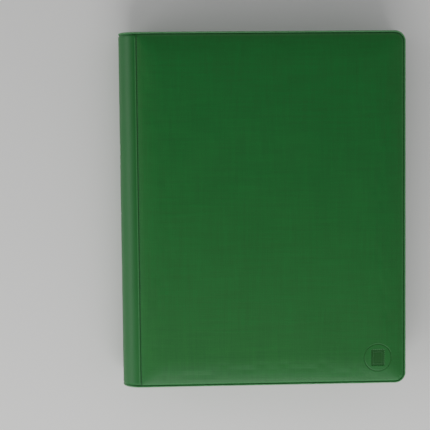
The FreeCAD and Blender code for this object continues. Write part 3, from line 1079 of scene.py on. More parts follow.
    def _settle(self, x: np.ndarray, y: np.ndarray) -> np.ndarray:
        """How far the skin swells over its foam, found with a short cloth simulation.

        Args:
            x: places across.
            y: places up.

        Returns:
            The swelling at each place.
        """
        x0, x1, y1 = self._extent
        columns, rows = self.settling_grid
        across, up = np.linspace(x0, x1, columns), np.linspace(-y1, y1, rows)
        gx, gy = np.meshgrid(across, up, indexing="ij")
        start = -self._height(gx, gy, self._from_edge(gx, gy))
        shell = Shell()
        shell.add_grid(np.stack([gx, gy, start], -1))
        sheet = shell.make("settling_skin", bpy.data.materials.new("settling"))
        held = sheet.vertex_groups.new(name="sewn")
        edge = np.zeros(gx.shape, bool)
        edge[[0, -1], :] = True
        edge[:, [0, -1]] = True
        held.add(np.flatnonzero(edge.ravel()).tolist(), 1.0, "REPLACE")
        cloth = sheet.modifiers.new("cloth", "CLOTH")
        cloth.settings.vertex_group_mass = "sewn"
        cloth.settings.use_pressure = True
        cloth.settings.uniform_pressure_force = self.pressure
        cloth.settings.tension_stiffness = self.stretch_stiffness
        cloth.settings.compression_stiffness = self.stretch_stiffness
        cloth.settings.bending_stiffness = self.bending_stiffness
        cloth.settings.effector_weights.gravity = 0.0
        cloth.settings.shrink_min = -self.spare_cloth
        scene = bpy.context.scene
        for frame in range(1, self.settling_frames + 1):
            scene.frame_set(frame)
        done = sheet.evaluated_get(bpy.context.evaluated_depsgraph_get()).data
        moved = np.zeros(len(done.vertices) * 3, np.float32)
        done.vertices.foreach_get("co", moved)
        scene.frame_set(1)
        swell = moved.reshape(gx.shape + (3,))[..., 2] / MM - start
        bpy.data.objects.remove(sheet)
        swell = self.fullness * np.tanh(np.abs(swell) / self.fullness)
        finer = np.array([np.interp(y[0], up, row) for row in swell])
        return np.array([np.interp(x[:, 0], across, column) for column in finer.T]).T


@dataclass
class CoverRim:
    """The turned and stitched edge round a cover's tail, fore-edge and head."""

    layout: Layout
    side: Side
    step: float = 2.0
    pitch: float = 3.4
    stitch_share: float = 0.75
    stitch_width: float = 0.6
    stitch_inset: float = 2.55
    stitch_depth: float = 0.22
    unevenness: float = 0.12

    def build(self, finishes: Finishes) -> list[bpy.types.Object]:
        """Makes the rim and its stitches.

        Args:
            finishes: the shared finishes.

        Returns:
            The rim and the thread.
        """
        profile = np.array(RIM_PROFILE)
        path, outward = self.layout.edge_path(self.layout.seam_x, self.step)
        along = distances(path)
        sway = self.unevenness * ripple(along, (17.0, 29.0, 53.0), 0.9)[:, None]
        plan = path[:, None] - outward[:, None] * profile[None, :, :1]
        z = self.layout.edge_z + self.layout.edge * profile[:, 1]
        turned = (profile[:, 0] < 1.6) & (profile[:, 1] < 0.5)
        z = z[None] + np.where(turned, sway + self.unevenness * 0.5, 0)
        points = np.concatenate([plan, z[..., None]], -1)
        # Paler on the turned edge's outer crest: partly rubbing, partly a painted highlight.
        low_down = 1 - smooth_step(profile[:, 1], 0.2, 0.6)
        marks_and_highlight = bell(profile[:, 0], 0.6, 0.8) * low_down
        points = self.layout.on_side(points, self.side)
        shell = Shell()
        shell.add_grid(points, wrap=True, caps=True, marks_and_highlight=marks_and_highlight[None])
        name = self.side.value
        rim = shell.make(f"{name}_turned_edge", finishes.get(RIM_SKIN))
        finish_piece(rim, [f"{name}_edge_binding"], self.side.body)
        return [rim, self._stitches(finishes)]

    def _stitches(self, finishes: Finishes) -> bpy.types.Object:
        """Makes the thread in the groove inside the rim.

        Args:
            finishes: the shared finishes.

        Returns:
            The finished piece.
        """
        path, outward = self.layout.edge_path(self.layout.seam_x, self.pitch)
        path = path - outward * self.stitch_inset
        middle = (path[1:] + path[:-1]) / 2
        ahead = unit(np.diff(path, axis=0))
        z = self.layout.edge_z + self.layout.edge * self.stitch_depth
        centres = np.column_stack([middle, np.full(len(middle), z)])
        up = np.tile((0.0, 0.0, -1.0), (len(middle), 1))
        sign = 1 if self.side is Side.BACK else -1
        shell = Shell()
        add_stitches(
            shell, self.layout.on_side(centres, self.side),
            np.column_stack([ahead, np.zeros(len(ahead))]), up * sign,
            self.pitch * self.stitch_share, self.stitch_width,
        )
        thread = shell.make(f"{self.side.value}_edge_thread", finishes.get(THREAD))
        finish_piece(thread, [], self.side.body)
        return thread


@dataclass
class CoverSeam:
    """The stitched seam between the spine leatherette and a padded panel."""

    layout: Layout
    side: Side
    pitch: float = 3.4
    stitch_share: float = 0.58
    stitch_width: float = 0.95
    offset: float = 0.7
    depth: float = 0.16
    end_margin: float = 4.0

    def build(self, finishes: Finishes) -> bpy.types.Object:
        """Makes the seam's thread.

        Args:
            finishes: the shared finishes.

        Returns:
            The finished piece.
        """
        y1 = self.layout.half_height - self.end_margin
        y = np.arange(-y1, y1, self.pitch)
        x, z = self.layout.seam_x + self.offset, self.layout.edge_z + self.depth
        centres = np.column_stack([np.full_like(y, x), y, np.full_like(y, z)])
        sign = -1.0 if self.side is Side.BACK else 1.0
        ahead, up = np.tile((0.0, 1.0, 0.0), (len(y), 1)), np.tile((0.0, 0.0, sign), (len(y), 1))
        shell = Shell()
        add_stitches(
            shell, self.layout.on_side(centres, self.side), ahead, up,
            self.pitch * self.stitch_share, self.stitch_width,
        )
        thread = shell.make(f"{self.side.value}_seam_thread", finishes.get(THREAD))
        finish_piece(thread, [], self.side.body)
        return thread


@dataclass
class SpineLeather:
    """Half of the leatherette that wraps the spine, from a cover's seam to the spine's middle."""

    layout: Layout
    side: Side
    skin: float = 1.05
    edge_at_middle: float = 3.5
    fold: float = 0.12
    tuck: float = 0.45
    press: float = 0.4
    waviness: float = 0.08
    hinge_reach: float = 5.0
    die: StampDie = StampDie(x=0.0, y=77.0, ring=13.0, width=11.0, height=14.5)
    title: TitleFrame = TitleFrame(y0=-4.0, y1=60.0, width=11.0)

    def build(self, finishes: Finishes) -> bpy.types.Object:
        """Makes this half of the spine's leatherette.

        Args:
            finishes: the shared finishes.

        Returns:
            The finished piece.
        """
        angle, arc, from_seam = self._rows()
        y, depth_share, depth_fixed, middle = self._columns()
        thicker = self.layout.edge - self.edge_at_middle
        edge = self.edge_at_middle + thicker * smooth_step(-angle, 1.0, 1.5)
        depth = depth_share[None] * edge[:, None] + depth_fixed[None]
        fold = -self.fold * bell(from_seam, 1.5, 0.8)
        fold = fold + self.tuck * (1 - np.clip(from_seam / 0.7, 0, 1)) ** 2
        pressed = np.maximum(
            self.die.depth(arc[:, None], y[None]), self.title.depth(arc[:, None], y[None])
        ) * middle[None]
        calm = smooth_step(from_seam, 2.0, 12.0)
        waves = self.waviness * ripple(y, (41.0, 67.0, 103.0), 1.1)[None] * calm[:, None]
        sunk = fold[:, None] + self.press * pressed + waves + self.waviness
        depth = depth + sunk * middle[None]
        points = self.layout.spine_point(angle[:, None], y[None], depth)
        # Pale on the folded edge by the seam and on the turned ends: partly rubbing, partly a
        # painted highlight.
        marks_and_highlight = np.maximum(
            0.3 * bell(from_seam[:, None], 1.4, 0.6) * middle[None],
            self._end_rubbing_and_highlight(y)[None] * (1 - smooth_step(depth, 0.8, 2.4)),
        )
        shell = Shell()
        shell.add_grid(
            self.layout.on_side(points, self.side), wrap=True, caps=True, marks_and_highlight=marks_and_highlight, pressed=pressed
        )
        name = self.side.value
        piece = shell.make(f"{name}_spine_leather", finishes.get(SPINE_SKIN))
        replaced = [f"{name}_spine_flap"]
        if self.side is Side.BACK:
            replaced += ["spine_cover", "spine_end_bindings"]
        finish_piece(piece, replaced, bend=self._bend())
        return piece

    def _bend(self) -> tuple[str, str, tuple, tuple]:
        """Gives the two bodies that this half lies between and the ends of its hinge zone.

        Returns:
            The two bodies on either side of the hinge, and where that zone starts and ends;
            finish_piece does not bend the piece with them.
        """
        lay, reach = self.layout, self.hinge_reach
        outer = (lay.hinge_x + reach, 0.0, lay.hinge_z - reach)
        inner = (lay.hinge_x - reach, 0.0, lay.hinge_z + reach)
        if self.side is Side.BACK:
            return ("back_cover", "spine", outer, inner)
        mirrored = [(x, y, lay.thickness - z) for x, y, z in (inner, outer)]
        return ("spine", "front_cover", mirrored[0], mirrored[1])

    def _rows(self) -> tuple[np.ndarray, np.ndarray, np.ndarray]:
        """Where the rows run along the spine's section.

        Returns:
            Each row's angle, its distance from the spine's middle and from the seam.
        """
        fine = np.radians(np.linspace(-90, 0, 2001))
        section = self.layout.spine_point(fine, np.zeros_like(fine), np.zeros_like(fine))
        length = distances(section)
        total = length[-1]
        reach = self.die.ring + 1.5
        rows = grid_lines(0.0, total, 1.4, [(0.0, 5.0, 0.35), (total - reach, total, 0.4)])
        return np.interp(rows, length, fine), rows - total, rows

    def _columns(self) -> tuple[np.ndarray, np.ndarray, np.ndarray, np.ndarray]:
        """Where the columns run across each row, once round the leatherette's section.

        Returns:
            Each column's y, its depth as a share of the edge, its depth in millimetres, and
            one where it is on the open face between the two ends.
        """
        end = np.array(SHOULDER_PROFILE + RIM_PROFILE)
        limit = self.layout.half_height - end[0, 0]
        reach = self.die.ring + 1.5
        zones = [
            (self.title.y0 - 1.5, self.title.y1 + 1.5, 0.45),
            (self.die.y - reach, self.die.y + reach, 0.4),
        ]
        face = grid_lines(-limit, limit, 3.0, zones)[1:-1]
        head_y, head_share = self.layout.half_height - end[:, 0], end[:, 1]
        y = np.concatenate([-head_y[::-1], face, head_y, [head_y[-1] - 1.0, -head_y[-1] + 1.0]])
        zero, ends = np.zeros_like(face), np.zeros(len(end))
        share = np.concatenate([head_share[::-1], zero, head_share, [0.0, 0.0]])
        fixed = np.concatenate([ends, zero, ends, [self.skin, self.skin]])
        middle = np.concatenate([ends, zero + 1.0, ends, [0.0, 0.0]])
        return y, share, fixed, middle

    def _end_rubbing_and_highlight(self, y: np.ndarray) -> np.ndarray:
        """How pale the turned ends are: partly rubbing, partly a painted highlight on their crest.
        """
        return bell(self.layout.half_height - np.abs(y), 0.7, 0.8)


# ---- Side walls and zip --------------------------------------------------------------


@dataclass
class SideWall:
    """One cover's half of the wall round the leaves: gusset, woven tape, coil and stops."""

    layout: Layout
    side: Side
    step: float = 2.5
    bulge: float = 0.5
    sway: float = 0.25
    rolled_top: float = 0.9
    stitch_from_top: float = 1.7
    stitch_out: float = 0.12
    stitch_share: float = 0.75
    stitch_width: float = 0.5
    pitch: float = 3.0
    tooth_pitch: float = 1.6
    turn_points: int = 9
    wire: float = 0.55
    coil_inset: float = 1.05
    coil_across: float = 0.72
    coil_reach: float = 0.35
    stop_half: float = 1.45

    def build(self, finishes: Finishes) -> list[bpy.types.Object]:
        """Makes the wall's pieces.

        Args:
            finishes: the shared finishes.

        Returns:
            Gusset, its thread, tape, coil and stops.
        """
        makers = (self._gusset, self._thread, self._tape, self._coil, self._stops)
        return [make(finishes) for make in makers]

    def _box(self, part: str) -> tuple[Vector, Vector]:
        """The back cover's box of one kind of node, in millimetres."""
        low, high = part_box(f"back_{part}")
        return low / MM, high / MM

    def _sweep(
        self, profile: np.ndarray, start_x: float, step: float
    ) -> tuple[np.ndarray, np.ndarray]:
        """Carries a profile round the cover.

        Args:
            profile: (inset, height) pairs.
            start_x: where the sweep starts and ends.
            step: about how far apart its rows are.

        Returns:
            The grid of points and each row's distance along the edge.
        """
        path, outward = self.layout.edge_path(start_x, step)
        along = distances(path)
        plan = path[:, None] - outward[:, None] * profile[None, :, :1]
        z = np.broadcast_to(profile[:, 1], plan.shape[:2])
        return np.concatenate([plan, z[..., None]], -1), along

    def _gusset(self, finishes: Finishes) -> bpy.types.Object:
        """Makes the leatherette wall, a little full between its sewn edges.

        Args:
            finishes: the shared finishes.

        Returns:
            The finished piece.
        """
        low, high = self._box("gusset")
        outer = self.layout.half_height - high.y
        rise = np.linspace(0, 1, 9)
        full = self.bulge * np.sin(math.pi * np.clip(rise / 0.86, 0, 1)) ** 1.5
        face_height = high.z - low.z - self.rolled_top
        face = np.column_stack([outer - full, low.z + rise * face_height])
        roll = np.array([(0.06, 0.5), (0.25, 0.8), (0.5, 0.9), (0.75, 0.8), (0.94, 0.5)])
        top = np.column_stack([outer + roll[:, 0], high.z - self.rolled_top + roll[:, 1]])
        back = np.column_stack([outer + 1.0 - 0.7 * full[::-1], face[::-1, 1]])
        profile = np.concatenate([face, top, back])
        points, along = self._sweep(profile, low.x, self.step)
        share = np.sin(math.pi * np.clip((profile[:, 1] - low.z) / (high.z - low.z), 0, 1))
        outward = self.layout.edge_path(low.x, self.step)[1]
        sway = self.sway * ripple(along, (31.0, 47.0, 83.0), 2.3)[:, None] * share[None]
        points[..., :2] += outward[:, None] * sway[..., None]
        # The rolled top is paler: partly rubbing, partly a painted highlight along the crest.
        marks_and_highlight = np.where(profile[:, 1] > high.z - 0.7, 0.9, 0.0)
        points = self.layout.on_side(points, self.side)
        shell = Shell()
        shell.add_grid(points, wrap=True, caps=True, marks_and_highlight=marks_and_highlight[None])
        name = self.side.value
        piece = shell.make(f"{name}_gusset_wall", finishes.get(WALL_SKIN))
        finish_piece(piece, [f"{name}_gusset"], self.side.body)
        return piece

    def _thread(self, finishes: Finishes) -> bpy.types.Object:
        """Makes the thread that sews gusset to tape.

        Args:
            finishes: the shared finishes.

        Returns:
            The finished piece.
        """
        low, high = self._box("gusset")
        inset = self.layout.half_height - high.y - self.stitch_out
        path, outward = self.layout.edge_path(low.x + 1.0, self.pitch)
        path = path - outward * inset
        middle = (path[1:] + path[:-1]) / 2
        ahead = unit(np.diff(path, axis=0))
        out = unit((outward[1:] + outward[:-1]) / 2)
        centres = np.column_stack([middle, np.full(len(middle), high.z - self.stitch_from_top)])
        zero = np.zeros(len(middle))
        shell = Shell()
        add_stitches(
            shell, self.layout.on_side(centres, self.side), np.column_stack([ahead, zero]),
            np.column_stack([out, zero]), self.pitch * self.stitch_share, self.stitch_width,
        )
        piece = shell.make(f"{self.side.value}_gusset_thread", finishes.get(THREAD))
        finish_piece(piece, [], self.side.body)
        return piece

    def _tape(self, finishes: Finishes) -> bpy.types.Object:
        """Makes the woven tape, with the two rows of thread that hold the coil.

        Args:
            finishes: the shared finishes.

        Returns:
            The finished piece.
        """
        low, high = self._box("zip_tape")
        outer = self.layout.half_height - high.y
        rows = [
            (0.0, 0.0), (0.0, 5.6), (-0.1, 5.9), (0.0, 6.2), (0.0, 6.7), (-0.1, 7.0), (0.0, 7.3),
        ]
        face = [(outer + across, low.z + up) for across, up in rows] + [(outer + 0.1, high.z)]
        profile = np.array(
            face + [(outer + 0.6, high.z), (outer + 0.7, high.z - 0.4), (outer + 0.7, low.z)]
        )
        points, _ = self._sweep(profile, low.x, self.step)
        shell = Shell()
        shell.add_grid(self.layout.on_side(points, self.side), wrap=True, caps=True)
        name = self.side.value
        piece = shell.make(f"{name}_woven_tape", finishes.get(TAPE_CLOTH))
        finish_piece(piece, [f"{name}_zip_tape"], self.side.body)
        return piece

    def _coil(self, finishes: Finishes) -> bpy.types.Object:
        """Makes the nylon coil, whose turns mesh with the other cover's.

        Args:
            finishes: the shared finishes.

        Returns:
            The finished piece.
        """
        low, high = self._box("zip_coil")
        inset = self.layout.half_height - high.y + self.coil_inset
        path, outward = self.layout.edge_path(low.x + 0.3, 0.4)
        path = path - outward * inset
        along = distances(path)
        turns = int(along[-1] / self.tooth_pitch)
        place = np.linspace(0, turns * self.tooth_pitch, turns * self.turn_points + 1)
        half_turn = math.pi if self.side is Side.FRONT else 0.0
        phase = 2 * math.pi * place / self.tooth_pitch + half_turn
        plan = np.column_stack([np.interp(place, along, path[:, k]) for k in (0, 1)])
        out = np.column_stack([np.interp(place, along, outward[:, k]) for k in (0, 1)])
        bottom, top = low.z + self.wire / 2, self.layout.middle_z + self.coil_reach - self.wire / 2
        z = (bottom + top) / 2 + (top - bottom) / 2 * np.sin(phase)
        plan = plan + out * (self.coil_across * np.cos(phase))[:, None]
        centre = np.column_stack([plan, z])
        ahead = unit(np.gradient(centre, axis=0))
        lead = np.column_stack([-out[:, 1], out[:, 0], np.zeros(len(out))])
        first = unit(np.cross(ahead, lead))
        second = np.cross(ahead, first)
        spin = np.linspace(0, 2 * math.pi, 6)[:-1]
        cos, sin = np.cos(spin)[None, :, None], np.sin(spin)[None, :, None]
        ring = first[:, None] * cos + second[:, None] * sin
        points = centre[:, None] + self.wire / 2 * ring
        shell = Shell()
        shell.add_grid(self.layout.on_side(points, self.side), wrap=True, caps=True)
        name = self.side.value
        piece = shell.make(f"{name}_coil_teeth", finishes.get(COIL), 80.0)
        finish_piece(piece, [f"{name}_zip_coil"], self.side.body)
        return piece

    def _stops(self, finishes: Finishes) -> bpy.types.Object:
        """Makes the crimped metal stops at the coil's ends.

        Args:
            finishes: the shared finishes.

        Returns:
            The finished piece.
        """
        low, high = self._box("zip_stops")
        turn = np.linspace(0, 2 * math.pi, 25)[:-1]
        round_section = np.column_stack([np.cos(turn), np.sin(turn)])
        section = np.sign(round_section) * np.abs(round_section) ** 0.5
        stations = [
            (0.0, 0.7), (0.12, 0.9), (0.3, 1.0), (0.45, 0.93),
            (0.55, 0.93), (0.7, 1.0), (0.88, 0.9), (1.0, 0.7),
        ]
        shell = Shell()
        y_middle = high.y - self.stop_half
        for end in (-1, 1):
            rows = []
            for share, size in stations:
                y = end * (y_middle + self.stop_half * size * section[:, 0])
                z = (low.z + high.z) / 2 + (high.z - low.z) / 2 * size * section[:, 1]
                x = np.full_like(y, low.x + share * (high.x - low.x))
                rows.append(np.column_stack([x, y, z]))
            shell.add_grid(self.layout.on_side(np.array(rows), self.side), wrap=True, caps=True)
        name = self.side.value
        piece = shell.make(f"{name}_crimped_stops", finishes.get(NICKEL))
        finish_piece(piece, [f"{name}_zip_stops"], self.side.body)
        return piece


@dataclass
class HingeStrip:
    """The cloth glued inside, from a cover's board over the fold to the spine's lining."""

    layout: Layout
    side: Side
    glued: float = 1.5
    past_board: float = 2.5
    slack: tuple[float, float] = (-3.4, 1.4)
    spine_angles: tuple[float, float] = (-47.0, -33.0)
    thick: float = 0.4
    depth: float = 3.4
    end_margin: float = 7.0
    reach: float = 5.0

    def build(self, finishes: Finishes) -> bpy.types.Object:
        """Makes the strip.

        Args:
            finishes: the shared finishes.

        Returns:
            The finished piece.
        """
        board_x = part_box("back_board")[0].x / MM
        board_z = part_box("back_board")[1].z / MM
        angle = np.radians(np.linspace(*self.spine_angles, 8))
        arc = self.layout.spine_point(angle, np.zeros(8), np.full(8, self.depth))[:, [0, 2]]
        start = np.array([board_x + self.glued, board_z])
        turn = np.array([board_x - self.past_board, board_z + 0.1])
        fold = rounded(turn, turn + self.slack, arc[0], np.linspace(0, 1, 9)[1:-1, None])
        line = np.concatenate([start[None], (start + turn)[None] / 2, turn[None], fold, arc])
        normal = unit(np.gradient(line, axis=0)[:, ::-1] * (1, -1))
        half = self.layout.half_height - self.end_margin
        y = np.linspace(-half, half, 60)
        inner = line - normal * self.thick
        grids = []
        for section in (line, inner):
            x, up = section[:, :1], section[:, 1:]
            grids.append(np.stack(np.broadcast_arrays(x, y, up), -1))
        shell = Shell()
        shell.add_slab(*(self.layout.on_side(grid, self.side) for grid in grids))
        piece = shell.make(f"{self.side.value}_hinge_strip", finishes.get(LINING_CLOTH))
        lay = self.layout
        outer = (lay.hinge_x + self.reach, 0.0, lay.hinge_z - self.reach)
        far = (lay.hinge_x - self.reach, 0.0, lay.hinge_z + self.reach)
        if self.side is Side.BACK:
            bend = ("back_cover", "spine", outer, far)
        else:
            mirrored = [(x, y0, lay.thickness - z) for x, y0, z in (far, outer)]
            bend = ("spine", "front_cover", mirrored[0], mirrored[1])
        finish_piece(piece, [], bend=bend)
        return piece


# ---- Slider and pull -----------------------------------------------------------------


def eased_outline(corners: list[tuple[float, float, float]], steps: int = 8) -> np.ndarray:
    """A closed outline whose corners are eased.

    Args:
        corners: each corner's place and how far along its two sides the easing starts.
        steps: how many points each corner gets.

    Returns:
        The outline's points.
    """
    places = np.array([corner[:2] for corner in corners])
    t = np.linspace(0, 1, steps)[:, None]
    points = []
    for k, place in enumerate(places):
        before, after = places[k - 1] - place, places[(k + 1) % len(places)] - place
        first, last = place + unit(before) * corners[k][2], place + unit(after) * corners[k][2]
        points.append(rounded(first, place, last, t))
    return np.concatenate(points)


def add_cast_plate(
    shell: Shell, outlines: list[np.ndarray], y0: float, y1: float, bevel: float
) -> None:
    """Adds a cast plate that stands across Y, with round edges and holes.

    Args:
        shell: the mesh that gets it.
        outlines: the outer outline and then its holes, in x and z.
        y0: its lower face.
        y1: its upper face.
        bevel: the rounding of its edges.
    """
    curve = bpy.data.curves.new("plate", "CURVE")
    curve.dimensions = "2D"
    curve.fill_mode = "BOTH"
    curve.extrude = (y1 - y0) / 2 - bevel
    curve.bevel_depth = bevel
    curve.bevel_resolution = 3
    curve.offset = -bevel
    for outline in outlines:
        spline = curve.splines.new("POLY")
        spline.points.add(len(outline) - 1)
        for point, (x, z) in zip(spline.points, outline):
            point.co = (x, z, 0.0, 1.0)
        spline.use_cyclic_u = True
    holder = bpy.data.objects.new("plate", curve)
    mesh = bpy.data.meshes.new_from_object(holder)
    flat = np.array([vertex.co for vertex in mesh.vertices])
    points = np.column_stack([flat[:, 0], (y0 + y1) / 2 + flat[:, 2], flat[:, 1]])
    shell.add(points, [list(face.vertices) for face in mesh.polygons])
    bpy.data.objects.remove(holder)
    bpy.data.meshes.remove(mesh)


@dataclass
class ZipSlider:
    """The die-cast slider: two plates, lips that hold the tape, and the arch for the pull."""

    layout: Layout
    plate: float = 1.1
    bevel: float = 0.3
    notch: float = 1.1
    sunk: float = 0.2
    lip_bevel: float = 0.15
    arch_metal: float = 0.9
    arch_corner: float = 1.7

    def build(self, finishes: Finishes) -> bpy.types.Object:
        """Makes the slider.

        Args:
            finishes: the shared finishes.

        Returns:
            The finished piece.
        """
        low, high = (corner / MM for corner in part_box("zip_slider_body"))
        middle = self.layout.middle_z
        head, tail = (high.z - low.z) / 2, (high.z - low.z) / 2 - 0.6
        half = [
            (low.x, 2.2, 1.0), (low.x + 2.6, head, 2.0),
            (high.x - 4.0, tail + 0.1, 2.5), (high.x, tail - 0.6, 1.4),
        ]
        corners = [(x, middle + z, ease) for x, z, ease in half]
        corners += [(x, middle - z, ease) for x, z, ease in half[::-1]]
        corners.append((low.x + self.notch, middle, 1.0))
        outline = eased_outline(corners)
        shell = Shell()
        add_cast_plate(shell, [outline], low.y, low.y + self.plate, self.bevel)
        add_cast_plate(shell, [outline], high.y - self.plate, high.y, self.bevel)
        tape_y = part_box("back_zip_tape")[0].y / MM
        coil_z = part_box("back_zip_coil")[0].z / MM
        x0, x1 = low.x + 2.6, high.x - 0.6
        z0, z1 = coil_z - 1.5, coil_z - 0.3
        lip = eased_outline([(x0, z0, 0.3), (x1, z0, 0.3), (x1, z1, 0.3), (x0, z1, 0.3)])
        start, end = low.y + self.plate - self.sunk, high.y - self.plate + self.sunk
        add_cast_plate(shell, [lip], start, tape_y - 0.3, self.lip_bevel)
        add_cast_plate(shell, [lip], tape_y + 1.0, end, self.lip_bevel)
        self._arch(shell)
        piece = shell.make("cast_slider", finishes.get(NICKEL), 35.0)
        finish_piece(piece, ["zip_slider_body", "zip_slider_bridge"], "zip_slider")
        return piece

    def _arch(self, shell: Shell) -> None:
        """Adds the arch that the pull hangs on.

        Args:
            shell: the slider's mesh.
        """
        low, high = (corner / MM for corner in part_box("zip_slider_bridge"))
        inset = self.arch_metal / 2
        foot = high.y + 0.4
        top = low.y + inset
        x0, x1 = low.x + inset, high.x - inset
        bends = [(x0, foot), (x0, top), (x1, top), (x1, foot)]
        t = np.linspace(0, 1, 9)[:, None]
        places = np.array(bends)
        line = [places[:1]]
        for k in (1, 2):
            before, after = places[k - 1] - places[k], places[k + 1] - places[k]
            first = places[k] + unit(before) * self.arch_corner
            last = places[k] + unit(after) * self.arch_corner
            line.append(rounded(first, places[k], last, t))
        line = np.concatenate(line + [places[3:]])
        ahead = np.gradient(line, axis=0)
        normal = unit(np.column_stack([-ahead[:, 1], ahead[:, 0]]))
        spin = np.linspace(0, 2 * math.pi, 21)[:-1]
        across = np.sign(np.cos(spin)) * np.abs(np.cos(spin)) ** 0.5 * (high.z - low.z) / 2
        out = np.sign(np.sin(spin)) * np.abs(np.sin(spin)) ** 0.6 * inset
        x = line[:, None, 0] + normal[:, None, 0] * out
        y = line[:, None, 1] + normal[:, None, 1] * out
        z = np.broadcast_to((low.z + high.z) / 2 + across, x.shape)
        shell.add_grid(np.stack([x, y, z], -1), wrap=True, caps=True)


@dataclass
class ZipPull:
    """The stamped pull: an eye round the slider's arch, and a tab with a slot to hold."""

    layout: Layout
    eye_half: float = 2.1
    eye_end: float = 6.4
    arm_end: float = 10.0
    arm_half: float = 3.2
    slot_half: float = 1.5
    slot_length: float = 9.0
    bevel: float = 0.32

    def build(self, finishes: Finishes) -> bpy.types.Object:
        """Makes the pull.

        Args:
            finishes: the shared finishes.

        Returns:
            The finished piece.
        """
        low, high = (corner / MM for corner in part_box("zip_pull_tab"))
        z = self.layout.middle_z
        pin_x = low.x + (high.y - low.y) / 2
        end = (high.z - low.z) / 2
        half = [
            (low.x, self.arm_half, 1.4), (pin_x + self.arm_end, self.arm_half, 3.0),
            (high.x - end, end, 0.3), (high.x, end, end * 0.92),
        ]
        outer = [(x, z + up, ease) for x, up, ease in half]
        outer += [(x, z - up, ease) for x, up, ease in half[::-1]]
        eye = self._hole(pin_x + 0.7, pin_x + self.eye_end, self.eye_half, 0.8)
        slot_end = high.x - end + self.slot_half
        slot_start = slot_end - self.slot_length - 2 * self.slot_half
        slot = self._hole(slot_start, slot_end, self.slot_half, 1.45)
        shell = Shell()
        add_cast_plate(shell, [eased_outline(outer), eye, slot], low.y, high.y, self.bevel)
        piece = shell.make("stamped_pull", finishes.get(NICKEL), 35.0)
        finish_piece(piece, ["zip_pull_tab"], "zip_pull")
        return piece

    def _hole(self, x0: float, x1: float, half: float, ease: float) -> np.ndarray:
        """Draws a hole's outline between two places along the pull.

        Args:
            x0: the end by the pin.
            x1: the other end.
            half: half of the hole's width.
            ease: the corners' radius.

        Returns:
            The outline's points.
        """
        low, high = self.layout.middle_z - half, self.layout.middle_z + half
        return eased_outline([(x0, low, ease), (x1, low, ease), (x1, high, ease), (x0, high, ease)])


# ---- Leaves --------------------------------------------------------------------------


@dataclass
class PocketLeaf:
    """One leaf: a black page with clear film welded to both faces, in rows of pockets."""

    layout: Layout
    number: int
    detailed: bool
    bound_x: float = -157.2
    bound_half: float = 8.4
    free_x: float = -136.0
    columns: int = 4
    rows: int = 4
    margin: float = 7.0
    bound_margin: float = 8.0
    half_thickness: float = 0.32
    film: float = 0.06
    loft: float = 0.05
    weld_depth: float = 0.12
    stack_half: float = 19.0
    weld: float = 1.1
    corner: float = 4.0

    def build(self, finishes: Finishes) -> bpy.types.Object:
        """Makes the leaf.

        Args:
            finishes: the shared finishes.

        Returns:
            The finished piece.
        """
        node = f"leaf_{self.number:02d}"
        low, high = (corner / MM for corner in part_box(node))
        middle = (low.z + high.z) / 2
        first, last = self.free_x + self.bound_margin, high.x - self.margin
        weld_x = np.linspace(first, last, self.columns + 1)
        weld_y = np.linspace(low.y + self.margin, high.y - self.margin, self.rows + 1)
        step = 0.5 if self.detailed else 1.1
        reach = 1.7 if self.detailed else 1.1
        x_zones = [(place - reach, place + reach, step) for place in weld_x]
        x_zones += [(self.bound_x, self.free_x, 1.5), (high.x - self.corner, high.x, 0.8)]
        y_zones = [(place - reach, place + reach, step) for place in weld_y]
        y_zones += [(low.y, low.y + self.corner, 0.8), (high.y - self.corner, high.y, 0.8)]
        across = grid_lines(self.bound_x, high.x, 14.0, x_zones)
        up = grid_lines(low.y, high.y, 14.0, y_zones)
        x, y = np.meshgrid(across, up, indexing="ij")
        from_weld = np.minimum(
            np.abs(x[..., None] - weld_x).min(-1), np.abs(y[..., None] - weld_y).min(-1)
        )
        inside = (x > weld_x[0] - 1) & (x < weld_x[-1] + 1) & (np.abs(y) < weld_y[-1] + 1)
        welded = np.where(inside, 1 - smooth_step(from_weld, self.weld * 0.3, self.weld), 0.0)
        crown = np.where(inside, smooth_step(from_weld, 2.0, 30.0), 0.0)
        film = np.where(inside, self.film, 0.0) + self.loft * crown
        half = self.half_thickness + film - self.weld_depth * welded
        y = self._round_corners(x, y, high)
        place = (middle - self.layout.middle_z) / self.stack_half
        margin_z = self.layout.middle_z + self.bound_half * place
        z = margin_z + (middle - margin_z) * smooth_step(x, self.bound_x, self.free_x)
        shell = Shell()
        shell.add_slab(np.stack([x, y, z + half], -1), np.stack([x, y, z - half], -1), marks_and_highlight=welded)
        piece = shell.make(f"pocket_leaf_{self.number:02d}", finishes.get(FILM))
        start = (self.bound_x, 0.0, self.layout.middle_z)
        end = (self.free_x, 0.0, self.layout.middle_z)
        finish_piece(piece, [node], bend=("spine", node, start, end))
        return piece

    def _round_corners(self, x: np.ndarray, y: np.ndarray, high: Vector) -> np.ndarray:
        """Pulls the fore-edge corners in so that they are round.

        Args:
            x: places across.
            y: places up.
            high: the leaf's far corner.

        Returns:
            The new places up.
        """
        past = np.clip(x - (high.x - self.corner), 0, self.corner)
        limit = high.y - self.corner + np.sqrt(np.clip(self.corner ** 2 - past ** 2, 0, None))
        return y * np.where(np.abs(y) > high.y - self.corner - 1, limit / high.y, 1.0)


# ---- Kept CAD pieces -----------------------------------------------------------------


